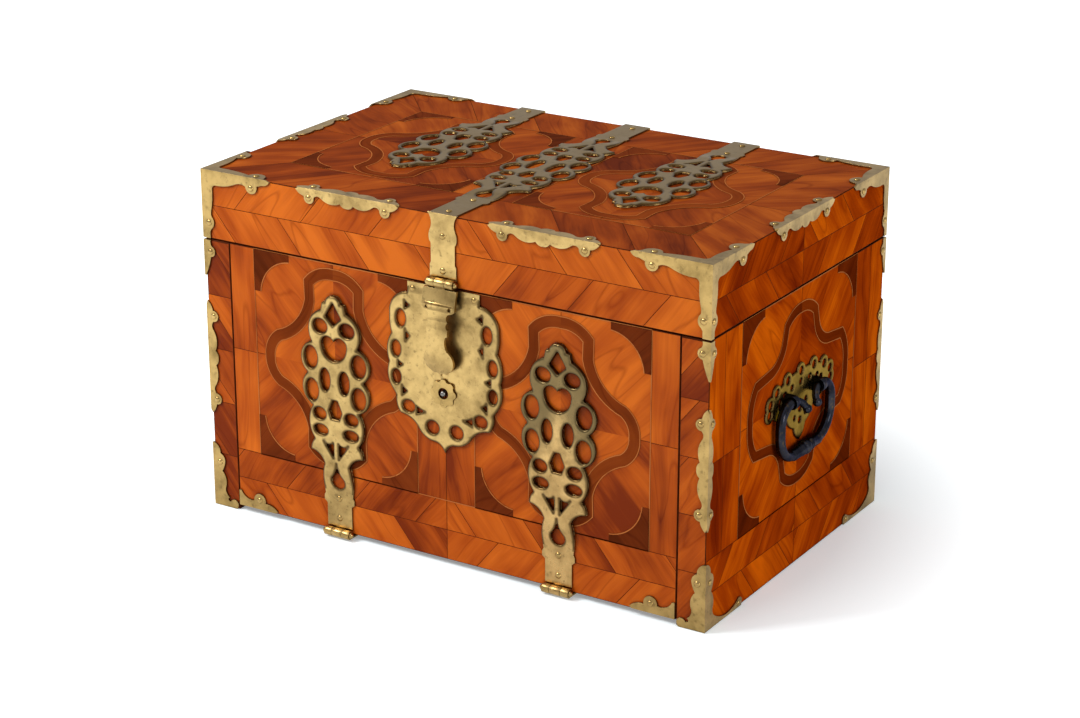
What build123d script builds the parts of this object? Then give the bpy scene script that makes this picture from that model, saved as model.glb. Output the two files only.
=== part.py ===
from build123d import *
import math
import os

# A veneered strongbox with a hinged lid and a fall front, in millimetres.
# The origin is the middle of the footprint on the table, +X is the viewer's right and -Y the front.

# Carcase
case_width = 517.0
case_depth = 328.0
seam_height = 260.0
seam_gap = 1.2
lid_height = 63.5
side_thickness = 26.5
back_thickness = 16.0
floor_thickness = 16.4
leaf_recess = 2.4
leaf_side_gap = 0.3
inner_board = 8.0
lid_top_thickness = 14.0
lid_rail_thickness = 16.0

# Fall front
front_thickness = 20.0
front_side_gap = 0.8
front_lift = 5.0
front_back_gap = 1.0

# Sheet brass and nails
brass = 1.5
nail_radius = 3.0
nail_rise = 1.5
nail_facets = 12

# Strap hinges
knuckle_radius = 4.2
knuckle_stand = 4.5
knuckle_split = 0.2
middle_knuckle = 10.6
pin_radius = 1.8
pin_fit = 0.05
pin_head = 2.8
strap_width = 27.0
strap_spacing = 116.0
lower_leaf = 32.0
under_leaf = 60.0

# Pierced strap heads, drawn on a pattern that these two sizes stretch
head_width = 75.0
head_length = 200.0

# Hasp, lock plate and lock
hasp_length = 84.0
hasp_thickness = 2.6
hasp_foot = 1.0
hasp_bow = 7.3
hasp_block_width = 34.0
hasp_neck_width = 17.0
hasp_swell_width = 27.0
hasp_hole_radius = 1.7
hasp_pivot_lift = 4.2
plate_width = 119.0
plate_drop = 152.0
keyhole_drop = 97.0
keyhole_radius = 5.2
rosette_radius = 13.0
rosette_thickness = 2.0
drill_radius = 2.6
drill_proud = 1.5
lock_width = 90.0
lock_height = 66.0
lock_depth = 12.0
lock_wall = 2.0
bolt_width = 9.0
bolt_thickness = 4.0
bolt_fit = 0.08
bolt_throw = 8.0
bolt_guide_x = -23.0

# Inside
well_depth = 80.0
drawer_height = 65.0
drawer_back_gap = 12.0
drawer_wall = 6.0
drawer_fit = 0.8
drawer_slide_fit = 0.08
drawer_count = 3
inner_recess = 18.0
knob_radius = 6.0
knob_length = 14.0

# Corner and edge mounts
mount_length = 109.0
mount_reach = 11.5
upright_mount_reach = 10.5
upright_mount_side_reach = 8.0
lid_mount_centre = 100.0
body_mount_height = 146.0
corner_arm = 75.0
corner_side_arm = 70.0
corner_top_band = 9.0
corner_post = 10.6
corner_side_post = 7.6
upper_mount_drop = 34.0
upper_mount_reach = 11.0
upper_mount_side_reach = 8.4
foot_post = 62.0
foot_side_arm = 65.0
front_foot_arm = 44.0
front_foot_rise = 15.0

# Drop handles
handle_height = 163.0
bail_width = 104.0
bail_drop = 50.0
bail_radius = 4.4
bail_stand = 7.5
bail_corner = 25.0
bail_shoulder = 17.0
bail_bar_radius = 5.4
finial_radius = 3.2
finial_reach = 13.0
finial_drop = 10.0
finial_lift = 6.0
knop_radius = 6.8
eye_spacing = 52.0
eye_width = 6.0
eye_radius = 6.3
shield_width = 132.0
shield_rise = 27.5
shield_drop = 44.0

half_width = case_width / 2
half_depth = case_depth / 2
case_top = seam_height - seam_gap / 2
lid_bottom = seam_height + seam_gap / 2
lid_top = seam_height + lid_height
inner_half = half_width - side_thickness
front_face = -half_depth
front_inner = front_face + front_thickness
inner_front = front_inner + front_back_gap
back_inner = half_depth - back_thickness
front_half = inner_half - front_side_gap
fall_axis_y = front_face - knuckle_stand
lid_axis_y = half_depth + knuckle_stand
hasp_axis_z = seam_height + hasp_pivot_lift
fascia = front_inner + inner_recess
drawer_depth = back_inner - fascia - drawer_back_gap
well_floor_z = case_top - well_depth
drawer_top = well_floor_z - inner_board
drawer_floor = drawer_top - drawer_height
keyhole_z = seam_height - keyhole_drop
bolt_y = front_inner + 3.0
bolt_z = keyhole_z + 28.0
bail_pin = eye_radius - 3.3
side_strap_shoulder = head_length - 0.41 * half_depth
centre_strap_shoulder = 0.6165 * head_length
front_strap_shoulder = front_lift + 26.0


def block(x, y, z):
    """Box between two values on each axis."""
    size = [limits[1] - limits[0] for limits in (x, y, z)]
    centre = [(limits[0] + limits[1]) / 2 for limits in (x, y, z)]
    return Pos(*centre) * Box(*size)


def rod(start, end, radius):
    """Round bar between two points."""
    along = Vector(*end) - Vector(*start)
    return extrude(Plane(origin=start, z_dir=along) * Circle(radius), amount=along.length, dir=along)


def outline_face(start, *steps, place=lambda s, d: (s, d)):
    """Flat face bounded by steps: an end point for a line, or a via point and an end point for an arc."""
    edges = []
    here = place(*start)
    for step in steps:
        points = [place(*point) for point in step]
        edges.append(ThreePointArc(here, *points) if len(points) == 2 else Line(here, points[0]))
        here = points[-1]
    return make_face(edges)


def mirrored(shape, plane=Plane.YZ):
    """The shape together with its mirror image."""
    return shape + mirror(shape, about=plane)


def sheet(face, thickness=brass):
    """Flat face raised to a sheet along local +Z."""
    return extrude(face, amount=thickness, dir=(0, 0, 1))


def front_plane(y):
    return Plane(origin=(0, y, 0), x_dir=(1, 0, 0), z_dir=(0, -1, 0))


def back_plane(y):
    return Plane(origin=(0, y, 0), x_dir=(-1, 0, 0), z_dir=(0, 1, 0))


def right_plane(x):
    return Plane(origin=(x, 0, 0), x_dir=(0, 1, 0), z_dir=(1, 0, 0))


def top_plane(z):
    return Plane(origin=(0, 0, z), x_dir=(1, 0, 0), z_dir=(0, 0, 1))


def nail_head():
    """Nail head hammered to a faceted dome, with its flat back on the local XY plane."""
    tiers = [(0, nail_radius), (nail_rise / 2, nail_radius * 0.84), (nail_rise, nail_radius * 0.42)]
    sections = [Pos(0, 0, lift) * RegularPolygon(radius, nail_facets) for lift, radius in tiers]
    return loft(sections, ruled=True)


def nails_on(plane, points):
    """Nail heads standing on sheet brass that lies on the given plane."""
    head = nail_head()
    return [plane * Pos(u, v, brass) * head for u, v in points]


def strap_head():
    """Pierced strap head on local XY: shoulder at v = 0, tip at v = head_length."""
    across = head_width / 75.0
    along = head_length / 200.0
    shoulder = strap_width / 2

    def place(u, v):
        return (u * across, v * along)

    half = outline_face(
        (0, 0),
        ((shoulder / across, 0),),
        ((16.5, 2.5),),
        ((16.5, 7.0),),
        ((15.0, 9.5),),
        ((16.4, 22.0), (13.6, 39.0)),
        ((18.0, 45.5), (28.5, 49.5)),
        ((27.5, 56.0), (24.0, 61.0)),
        ((30.0, 77.0), (25.0, 93.0)),
        ((36.6, 107.0), (30.0, 123.3)),
        ((37.5, 138.5), (24.5, 153.5)),
        ((27.5, 170.0), (13.5, 185.5)),
        ((11.8, 193.0),),
        ((8.0, 193.5),),
        ((5.0, 199.0), (0, 200.0)),
        ((0, 0),),
        place=place,
    )
    side_holes = [
        place_hole(place, 16.5, 71.0, 7.8, 4.8),
        place_hole(place, 25.5, 107.5, 7.3, 10.4),
        place_hole(place, 10.4, 120.0, 5.4, 10.6),
        place_hole(place, 26.0, 138.5, 7.6, 10.6),
        place_hole(place, 14.5, 170.0, 7.8, 6.6),
        place_hole(place, 17.3, 86.5, 7.0, 5.6),
        outline_face((3.0, 60.5), ((8.5, 58.0), (13.5, 60.5)), ((3.0, 46.0),), ((3.0, 60.5),), place=place),
        outline_face((0, 84.0), ((4.4, 84.0),), ((7.0, 91.0),), ((2.6, 101.5),), ((0, 101.5),), ((0, 84.0),),
                     place=place),
    ]
    middle_holes = [
        outline_face((0, 139.0), ((9.8, 143.5), (13.4, 152.0)), ((8.5, 161.0), (0, 157.0)),
                     ((-8.5, 161.0), (-13.4, 152.0)), ((-9.8, 143.5), (0, 139.0)), place=place),
        outline_face((0, 41.0), ((1.8, 33.0), (6.4, 26.0)), ((0, 15.6), (-6.4, 26.0)),
                     ((-1.8, 33.0), (0, 41.0)), place=place),
        outline_face((0, 172.5), ((8.5, 180.0),), ((0, 194.0),), ((-8.5, 180.0),), ((0, 172.5),), place=place),
    ]
    face = mirrored(half)
    for hole in side_holes:
        face -= mirrored(hole)
    for hole in middle_holes:
        face -= hole
    return face


def place_hole(place, u, v, radius_u, radius_v):
    """Oval hole of the strap pattern."""
    centre = place(u, v)
    reach = place(radius_u, radius_v)
    return Pos(*centre) * Ellipse(*reach)


def knuckle(axis_y, axis_z, x_from, x_to, bore):
    """One hinge knuckle along X, bored for its pin."""
    body = rod((x_from, axis_y, axis_z), (x_to, axis_y, axis_z), knuckle_radius)
    return body - rod((x_from - 1, axis_y, axis_z), (x_to + 1, axis_y, axis_z), bore)


def knuckle_spans(x_centre, middle):
    """X limits of the middle knuckle, or of the two outer ones."""
    inner = middle_knuckle / 2
    if middle:
        return [(x_centre - inner, x_centre + inner)]
    outer = strap_width / 2
    edge = inner + knuckle_split
    return [(x_centre - outer, x_centre - edge), (x_centre + edge, x_centre + outer)]


def leaf_end(x_centre, face_y, axis_y, axis_z, upward, middle, bore):
    """Knuckles of an upright leaf, with the tongues that join them to its plate."""
    outward = math.copysign(1, axis_y - face_y)
    rise = math.copysign(1, upward)
    plate_y = sorted((face_y, face_y + outward * brass))
    tongue_z = sorted((axis_z + rise * seam_gap / 2, axis_z + rise * knuckle_stand))
    end = None
    for span in knuckle_spans(x_centre, middle):
        piece = knuckle(axis_y, axis_z, *span, bore) + block(span, plate_y, tongue_z)
        end = piece if end is None else end + piece
    return end


def hinge_pin(x_centre, axis_y, axis_z):
    """Pin through a strap's knuckles, with a ball at each end."""
    half = strap_width / 2 + knuckle_split
    pin = rod((x_centre - half, axis_y, axis_z), (x_centre + half, axis_y, axis_z), pin_radius)
    for side in (-1, 1):
        ball = Pos(x_centre + side * half, axis_y, axis_z) * Sphere(pin_head)
        beyond = (0, side * 2 * pin_head)
        keep = block((x_centre + side * half + min(beyond), x_centre + side * half + max(beyond)),
                     (axis_y - pin_head, axis_y + pin_head), (axis_z - pin_head, axis_z + pin_head))
        pin += ball & keep
    return pin


def lid_strap(x_centre):
    """Strap on top of the lid, turned down its back to the outer knuckles."""
    plane = Plane(origin=(x_centre, side_strap_shoulder, lid_top), x_dir=(-1, 0, 0), z_dir=(0, 0, 1))
    strap = plane * sheet(strap_head())
    width = (x_centre - strap_width / 2, x_centre + strap_width / 2)
    strap += block(width, (side_strap_shoulder, half_depth + brass), (lid_top, lid_top + brass))
    strap += block(width, (half_depth, half_depth + brass), (seam_height + knuckle_stand, lid_top + brass))
    return strap + leaf_end(x_centre, half_depth, lid_axis_y, seam_height, 1, False, pin_radius + pin_fit)


def centre_strap():
    """Strap over the whole lid: two short heads meet at the middle, and it drops down the front to the hasp."""
    waist = centre_strap_shoulder
    head = strap_head() & Pos(0, waist / 2) * Rectangle(2 * head_width, waist)
    plane = Plane(origin=(0, waist, lid_top), x_dir=(-1, 0, 0), z_dir=(0, 0, 1))
    half = plane * sheet(head)
    width = (-strap_width / 2, strap_width / 2)
    strap = half + mirror(half, about=Plane.XZ)
    for side in (-1, 1):
        strap += block(width, sorted((side * waist, side * (half_depth + brass))), (lid_top, lid_top + brass))
    strap += block(width, (half_depth, half_depth + brass), (seam_height + knuckle_stand, lid_top + brass))
    strap += leaf_end(0, half_depth, lid_axis_y, seam_height, 1, False, pin_radius + pin_fit)
    strap += front_plane(front_face) * sheet(drop_face())
    return strap + leaf_end(0, front_face, fall_axis_y, hasp_axis_z, 1, False, pin_radius)


def drop_face():
    """Nearly straight outline of the strap on the lid's front face, in X and Z."""
    top = lid_top + brass
    low = hasp_axis_z + knuckle_stand
    half = strap_width / 2
    waist = half - 1.2
    nail_z = top - 20.0
    side = outline_face(
        (0, low),
        ((half, low),),
        ((half, low + 10.0),),
        ((waist, low + 12.0),),
        ((waist, nail_z - 7.0),),
        ((half - 0.2, nail_z - 6.0),),
        ((half + 0.8, nail_z), (half - 0.6, nail_z + 5.0)),
        ((waist - 0.6, nail_z + 12.0), (half + 1.8, top)),
        ((0, top),),
        ((0, low),),
    )
    return mirrored(side)


def front_strap(x_centre):
    """Strap of the fall front: its head is nailed up the face and its middle knuckle turns on the case."""
    plane = Plane(origin=(x_centre, front_face, front_strap_shoulder), x_dir=(1, 0, 0), z_dir=(0, -1, 0))
    strap = plane * sheet(strap_head())
    width = (x_centre - strap_width / 2, x_centre + strap_width / 2)
    strap += block(width, (front_face - brass, front_face), (front_lift + knuckle_stand, front_strap_shoulder))
    return strap + leaf_end(x_centre, front_face, fall_axis_y, front_lift, 1, True, pin_radius + pin_fit)


def fall_leaf(x_centre):
    """Leaf under the case floor, with the two outer knuckles of a fall hinge."""
    leaf_z = (front_lift - knuckle_radius, leaf_recess)
    leaf_front = front_face + 0.3
    width = (x_centre - strap_width / 2, x_centre + strap_width / 2)
    leaf = block(width, (leaf_front, inner_front + under_leaf), leaf_z)
    for span in knuckle_spans(x_centre, False):
        leaf += block(span, (fall_axis_y, leaf_front), leaf_z)
        leaf += knuckle(fall_axis_y, front_lift, *span, pin_radius)
    return leaf


def lid_leaf(x_centre):
    """Leaf on the case back, with the middle knuckle of a lid hinge."""
    width = (x_centre - strap_width / 2, x_centre + strap_width / 2)
    top = seam_height - knuckle_stand
    leaf = block(width, (half_depth, half_depth + brass), (top - lower_leaf, top))
    return leaf + leaf_end(x_centre, half_depth, lid_axis_y, seam_height, -1, True, pin_radius)


def edge_mount_face(reach):
    """One flange of an edge mount: s along the edge from the middle, d away from the edge."""
    along = mount_length / 109.0
    deep = reach / 12.5

    def place(s, d):
        return (s * along, d * deep)

    side = outline_face(
        (0, -brass / deep),
        ((51.0, -brass / deep),),
        ((54.5, 0.5),),
        ((50.5, 4.5), (45.5, 6.5)),
        ((40.5, 13.4), (35.0, 6.8)),
        ((31.0, 4.6), (27.0, 6.2)),
        ((17.0, 10.2), (7.0, 8.0)),
        ((4.5, 10.6), (0, 11.6)),
        ((0, -brass / deep),),
        place=place,
    )
    return mirrored(side)


def edge_mount(origin, along, flanges):
    """L-section mount on an edge, with its nails. Flanges are two outward normals, each with its reach."""
    sheets = []
    nails = []
    for (normal, reach), (other, _) in (flanges, flanges[::-1]):
        plane = edge_plane(origin, along, normal, other)
        sheets.append(plane * sheet(edge_mount_face(reach)))
        nails += nails_on(plane, [(side * 0.3715 * mount_length, 0.62 * reach) for side in (-1, 1)])
    return sheets[0] + sheets[1], nails


def edge_plane(origin, along, normal, other):
    """Plane on a face beside an edge: local X along the edge, local +Y away from the other face."""
    x_dir = Vector(*along)
    if (Vector(*normal).cross(x_dir) + Vector(*other)).length > 1:
        x_dir = x_dir * -1
    return Plane(origin=origin, x_dir=x_dir, z_dir=normal)


def corner_face(arm, post, post_width):
    """Upright flange of a three-armed corner: an arm along the horizontal edge and a post down the corner."""
    stretch = arm / corner_arm
    return outline_face(
        (-brass, -brass),
        ((arm - 4.0, -brass),),
        ((arm, 0),),
        ((arm - 3.0 * stretch, 3.0), (arm - 8.0 * stretch, 4.0)),
        ((arm - 14.0 * stretch, 6.0),),
        ((arm - 20.5 * stretch, 13.6), (arm - 26.5 * stretch, 7.6)),
        ((arm - 32.0 * stretch, 6.4), (arm - 38.0 * stretch, 7.6)),
        ((arm - 48.0 * stretch, 11.0), (post_width + 5.0, 12.0)),
        ((post_width + 1.5, 13.0), (post_width, 16.5)),
        ((post_width, post * 0.4), (post_width - 1.8, post * 0.58)),
        ((post_width - 2.2, post * 0.63), (post_width - 1.8, post * 0.67)),
        ((post_width + 0.8, post * 0.765), (post_width - 2.4, post * 0.86)),
        ((post_width - 3.8, post * 0.9),),
        ((post_width - 3.8, post),),
        ((-brass, post),),
        ((-brass, -brass),),
    )


def corner_nail_points(arm, post, post_width):
    """Nail places of a corner flange: in the arm's lobe and in the post's lobe."""
    return [(arm - 20.5 * arm / corner_arm, 8.5), (post_width - 4.6, post * 0.765)]


def top_band_face(arm_x, arm_y):
    """Flat L of a lid corner on the lid's top."""
    band = corner_top_band
    return outline_face(
        (-brass, -brass),
        ((arm_x - 6.0, -brass),),
        ((arm_x - 9.0, 3.5),),
        ((arm_x - 20.0, 11.5), (arm_x - 27.0, 4.5)),
        ((band + 22.0, 8.2), (band + 6.0, band)),
        ((band + 1.5, band + 1.5), (band, band + 6.0)),
        ((8.2, band + 22.0), (4.5, arm_y - 27.0)),
        ((11.5, arm_y - 20.0), (3.5, arm_y - 9.0)),
        ((-brass, arm_y - 6.0),),
        ((-brass, -brass),),
    )


def corner_frame(origin, s_dir, d_dir):
    """Right-handed frame with local X along s and local Y along d. Its +Z may point into the case."""
    return Plane(origin=origin, x_dir=s_dir, z_dir=Vector(*s_dir).cross(Vector(*d_dir)))


def outward_sheet(frame, face, outward):
    """Sheet brass on a face of the case, raised along the outward direction."""
    raised = extrude(face, amount=brass, dir=(0, 0, 1))
    into = frame.z_dir.dot(Vector(*outward)) < 0
    return frame * (Pos(0, 0, -brass) * raised if into else raised)


def outward_nails(frame, points, outward):
    """Nail heads on sheet brass, for a frame that may point into the case."""
    into = frame.z_dir.dot(Vector(*outward)) < 0
    turn = Pos(0, 0, -brass) * Rot(180, 0, 0) if into else Pos(0, 0, brass)
    return [frame * Pos(u, v, 0) * turn * nail_head() for u, v in points]


def lid_corner():
    """Front right lid corner: flanges on the front, the side and the top."""
    corner = (half_width, front_face, lid_top)
    front = corner_frame(corner, (-1, 0, 0), (0, 0, -1))
    side = corner_frame(corner, (0, 1, 0), (0, 0, -1))
    crown = corner_frame(corner, (-1, 0, 0), (0, 1, 0))
    post = lid_top - lid_bottom - 0.4
    mount = outward_sheet(front, corner_face(corner_arm, post, corner_post), (0, -1, 0))
    mount += outward_sheet(side, corner_face(corner_side_arm, post, corner_side_post), (1, 0, 0))
    mount += outward_sheet(crown, top_band_face(corner_arm, corner_side_arm), (0, 0, 1))
    nails = outward_nails(front, corner_nail_points(corner_arm, post, corner_post), (0, -1, 0))
    nails += outward_nails(side, corner_nail_points(corner_side_arm, post, corner_side_post), (1, 0, 0))
    nails += outward_nails(crown, [(corner_arm - 19.0, 5.5), (5.5, corner_side_arm - 19.0)], (0, 0, 1))
    return mount, nails


def foot_face(arm, post):
    """Upright flange of a bottom corner, from the corner along the table edge and up the post."""
    return outline_face(
        (-brass, 0),
        ((arm - 1.0, 0),),
        ((arm, 2.5),),
        ((arm - 3.5, 8.5), (arm - 7.5, 7.0)),
        ((arm - 10.0, 5.8), (16.0, 9.5)),
        ((12.5, 13.0), (11.5, 18.0)),
        ((12.5, post * 0.45), (8.5, post * 0.56)),
        ((10.5, post * 0.62), (12.0, post * 0.7)),
        ((11.5, post * 0.78), (7.0, post * 0.84)),
        ((5.5, post * 0.94), (0, post)),
        ((-brass, post),),
        ((-brass, 0),),
    )


def bottom_corner(front):
    """Right-hand bottom corner at the front or at the back."""
    corner = (half_width, -half_depth if front else half_depth, 0)
    outward = (0, -1, 0) if front else (0, 1, 0)
    inward = (0, 1, 0) if front else (0, -1, 0)
    face_arm = side_thickness - 1.0 if front else foot_side_arm
    face = corner_frame(corner, (-1, 0, 0), (0, 0, 1))
    side = corner_frame(corner, inward, (0, 0, 1))
    mount = outward_sheet(face, foot_face(face_arm, foot_post), outward)
    mount += outward_sheet(side, foot_face(foot_side_arm, foot_post), (1, 0, 0))
    post_nail = [(6.5, foot_post * 0.7)]
    nails = outward_nails(face, post_nail, outward)
    nails += outward_nails(side, post_nail + [(foot_side_arm - 6.0, 4.0)], (1, 0, 0))
    if not front:
        nails += outward_nails(face, [(foot_side_arm - 6.0, 4.0)], outward)
    return mount, nails


def upper_flange(reach):
    """One flange of an upper mount: square at the top, a lobe for the nail, then a long point."""
    return outline_face(
        (-brass, 0),
        ((reach * 0.6, 0),),
        ((reach * 0.58, 3.5), (reach * 0.7, 6.0)),
        ((reach, 11.0), (reach * 0.56, 16.0)),
        ((reach * 0.36, 24.0), (0, upper_mount_drop)),
        ((-brass, upper_mount_drop),),
        ((-brass, 0),),
    )


def upper_mount(front):
    """Short pointed mount on a right-hand upright edge, just under the lid."""
    corner = (half_width, -half_depth if front else half_depth, case_top - 0.4)
    outward = (0, -1, 0) if front else (0, 1, 0)
    inward = (0, 1, 0) if front else (0, -1, 0)
    face = corner_frame(corner, (-1, 0, 0), (0, 0, -1))
    side = corner_frame(corner, inward, (0, 0, -1))
    mount = outward_sheet(face, upper_flange(upper_mount_reach), outward)
    mount += outward_sheet(side, upper_flange(upper_mount_side_reach), (1, 0, 0))
    nails = outward_nails(face, [(upper_mount_reach * 0.56, 11.0)], outward)
    nails += outward_nails(side, [(upper_mount_side_reach * 0.54, 11.0)], (1, 0, 0))
    return mount, nails


def on_both_sides(pieces):
    """The pieces and their mirror images in the middle plane."""
    return list(pieces) + [mirror(piece, about=Plane.YZ) for piece in pieces]


def on_four_corners(pieces):
    """The front right pieces repeated at the other three corners."""
    return on_both_sides(list(pieces) + [mirror(piece, about=Plane.XZ) for piece in pieces])


def front_foot():
    """Small corner on the fall front's lower right end, and its nails."""
    corner = (front_half - 0.4, front_face, front_lift + 0.4)

    def place(s, d):
        return (s * front_foot_arm / 44.0, d * front_foot_rise / 15.0)

    face = outline_face(
        (0, 0),
        ((42.0, 0),),
        ((44.0, 2.0),),
        ((38.0, 6.0), (30.0, 7.0)),
        ((23.5, 15.5), (17.0, 8.0)),
        ((8.0, 9.0), (2.5, 15.0)),
        ((0, 15.0),),
        ((0, 0),),
        place=place,
    )
    frame = corner_frame(corner, (-1, 0, 0), (0, 0, 1))
    nails = outward_nails(frame, [place(23.5, 9.0)], (0, -1, 0))
    return outward_sheet(frame, face, (0, -1, 0)), nails


def lock_plate():
    """Lock plate: a plain field with a lobed and pierced border, a finial below and the keyhole."""
    top = case_top - 0.4
    across = plate_width / 119.0
    down = plate_drop / 152.0

    def place(u, v):
        return (u * across, top - v * down)

    field = outline_face(
        (0, 0),
        ((37.0, 0),),
        ((37.0, 10.0),),
        ((51.5, 17.0), (56.5, 33.0)),
        ((56.4, 42.0), (54.5, 50.0)),
        ((59.5, 63.5), (57.6, 77.0)),
        ((59.2, 90.0), (53.5, 103.0)),
        ((50.4, 107.5),),
        ((50.2, 115.5), (46.0, 123.5)),
        ((36.0, 126.0), (27.5, 133.5)),
        ((20.0, 141.0), (9.5, 143.5)),
        ((3.5, 146.5), (0, 152.0)),
        ((0, 0),),
        place=place,
    )
    holes = [(44.5, 35.0, 5.0, 8.0), (50.0, 64.0, 4.8, 7.4), (50.0, 90.0, 4.8, 6.6), (37.5, 115.5, 6.6, 5.6),
             (12.5, 130.5, 6.6, 6.2)]
    gaps = [(37.5, 21.5, 5.0, 7.5), (38.0, 50.0, 4.2, 12.0), (45.5, 77.5, 5.0, 6.5), (41.5, 101.5, 5.0, 9.0),
            (24.5, 117.5, 9.0, 7.0)]
    face = mirrored(field)
    for u, v, radius_u, radius_v in holes:
        face -= mirrored(Pos(*place(u, v)) * Ellipse(radius_u * across, radius_v * down))
    for u, v, wide, high in gaps:
        gap = outline_face((u + wide / 2, v - high / 2), ((u + wide / 2, v + high / 2),), ((u - wide / 2, v),),
                           ((u - wide * 0.1, v - high * 0.12), (u + wide / 2, v - high / 2)), place=place)
        face -= mirrored(gap)
    face -= Pos(0, keyhole_z) * Circle(keyhole_radius)
    return front_plane(front_face) * sheet(face)


def rosette():
    """Lobed rosette round the keyhole, on the lock plate."""
    lobe_count = 8
    face = Circle(rosette_radius * 0.86)
    for index in range(lobe_count):
        turn = Rot(0, 0, 360.0 * index / lobe_count)
        face += turn * Pos(rosette_radius * 0.74, 0) * Circle(rosette_radius * 0.26)
    face -= Circle(keyhole_radius)
    return front_plane(front_face - brass) * Pos(0, keyhole_z) * sheet(face, rosette_thickness)


def hasp():
    """Bowed hasp with its middle knuckle on the lid's front hinge."""
    middle = 0.548 * hasp_length
    tail = hasp_foot + 0.26 * hasp_bow

    def at(v, lift):
        return (front_face - brass - lift, hasp_axis_z - v)

    inner = ThreePointArc(at(0, hasp_foot), at(middle, hasp_foot + hasp_bow), at(hasp_length, tail))
    outer = ThreePointArc(at(hasp_length, tail + hasp_thickness),
                          at(middle, hasp_foot + hasp_thickness + hasp_bow), at(0, hasp_foot + hasp_thickness))
    section = make_face([inner, Line(inner @ 1, outer @ 0), outer, Line(outer @ 1, inner @ 0)])
    band = extrude(Plane.YZ * section, amount=hasp_block_width / 2, both=True)
    block_half = hasp_block_width / 2
    neck_half = hasp_neck_width / 2
    top = knuckle_stand + 0.3
    outline = outline_face(
        (0, 0),
        ((middle_knuckle / 2, 0),),
        ((middle_knuckle / 2, top),),
        ((block_half, top),),
        ((block_half + 0.8, top + 3.2), (block_half, top + 6.5)),
        ((block_half + 0.8, top + 9.7), (block_half, top + 13.0)),
        ((block_half + 0.4, top + 16.0), (block_half - 2.5, top + 19.0)),
        ((neck_half + 2.6, 25.0),),
        ((neck_half + 0.6, 28.5), (neck_half + 2.4, 32.0)),
        ((neck_half + 0.4, 35.5), (neck_half + 2.2, 39.0)),
        ((neck_half + 2.0, 45.0),),
        ((neck_half, 46.0),),
        ((neck_half - 1.0, 52.0), (neck_half + 1.0, 59.0)),
        ((hasp_swell_width / 2 + 1.4, hasp_length - 12.5), (neck_half, hasp_length - 4.5)),
        ((neck_half - 2.0, hasp_length - 2.4),),
        ((3.0, hasp_length - 3.2), (0, hasp_length)),
        ((0, 0),),
        place=lambda u, v: (u, hasp_axis_z - v),
    )
    nail_hole = Pos(block_half - 5.5, hasp_axis_z - 21.0) * Circle(hasp_hole_radius)
    outline = mirrored(outline) - mirrored(nail_hole)
    shape = front_plane(0) * extrude(outline, amount=case_depth, dir=(0, 0, 1))
    body = band & shape
    bore = rod((-middle_knuckle, fall_axis_y, hasp_axis_z), (middle_knuckle, fall_axis_y, hasp_axis_z),
               pin_radius + pin_fit)
    half = middle_knuckle / 2
    return body + rod((-half, fall_axis_y, hasp_axis_z), (half, fall_axis_y, hasp_axis_z), knuckle_radius) - bore


def shield_face():
    """Pierced back plate of a drop handle: a fan of lobes above and a shell below, in Y and Z."""
    fan_count = 9
    lobe = 7.6
    radius_u = shield_width / 2 - lobe
    radius_v = shield_rise - lobe
    face = Pos(0, handle_height) * Ellipse(shield_width * 0.42, shield_rise * 0.78)
    openings = []
    for index in range(fan_count):
        angle = math.radians(-10.0 + 200.0 * index / (fan_count - 1))
        across = math.cos(angle)
        up = math.sin(angle)
        face += Pos(radius_u * across, handle_height + radius_v * up) * Circle(lobe)
        openings.append(Pos(radius_u * across, handle_height + radius_v * up) * Circle(lobe * 0.5))
        openings.append(Pos(radius_u * 0.68 * across, handle_height + radius_v * 0.5 * up) * Circle(lobe * 0.36))
    low = handle_height - shield_drop
    shell = outline_face(
        (0, low),
        ((8.0, low + 6.0), (11.0, low + 13.0)),
        ((22.0, low + 20.0), (27.0, low + 34.0)),
        ((27.0, handle_height),),
        ((0, handle_height),),
        ((0, low),),
    )
    face += mirrored(shell)
    for height, radius in ((0.42, 3.0), (0.68, 3.8)):
        openings.append(Pos(0, low + shield_drop * height) * Circle(radius))
        for side in (-1, 1):
            openings.append(Pos(side * 10.5, low + shield_drop * (height + 0.1)) * Circle(radius * 0.8))
    for opening in openings:
        face -= opening
    return face


def handle_shield():
    """Right-hand pierced back plate."""
    return right_plane(half_width) * sheet(shield_face())


def handle_eye(side):
    """Iron eye on the right-hand back plate that holds one end of the bail."""
    axis_x = half_width + bail_stand
    face_x = half_width + brass
    y = (side * eye_spacing / 2 - eye_width / 2, side * eye_spacing / 2 + eye_width / 2)
    z = (handle_height - eye_radius, handle_height + eye_radius)
    ring = rod((axis_x, y[0], handle_height), (axis_x, y[1], handle_height), eye_radius)
    eye = (ring & block((face_x, axis_x + eye_radius), y, z)) + block((face_x, axis_x), y, z)
    return eye - rod((axis_x, y[0] - 1, handle_height), (axis_x, y[1] + 1, handle_height), bail_pin + pin_fit * 2)


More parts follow.
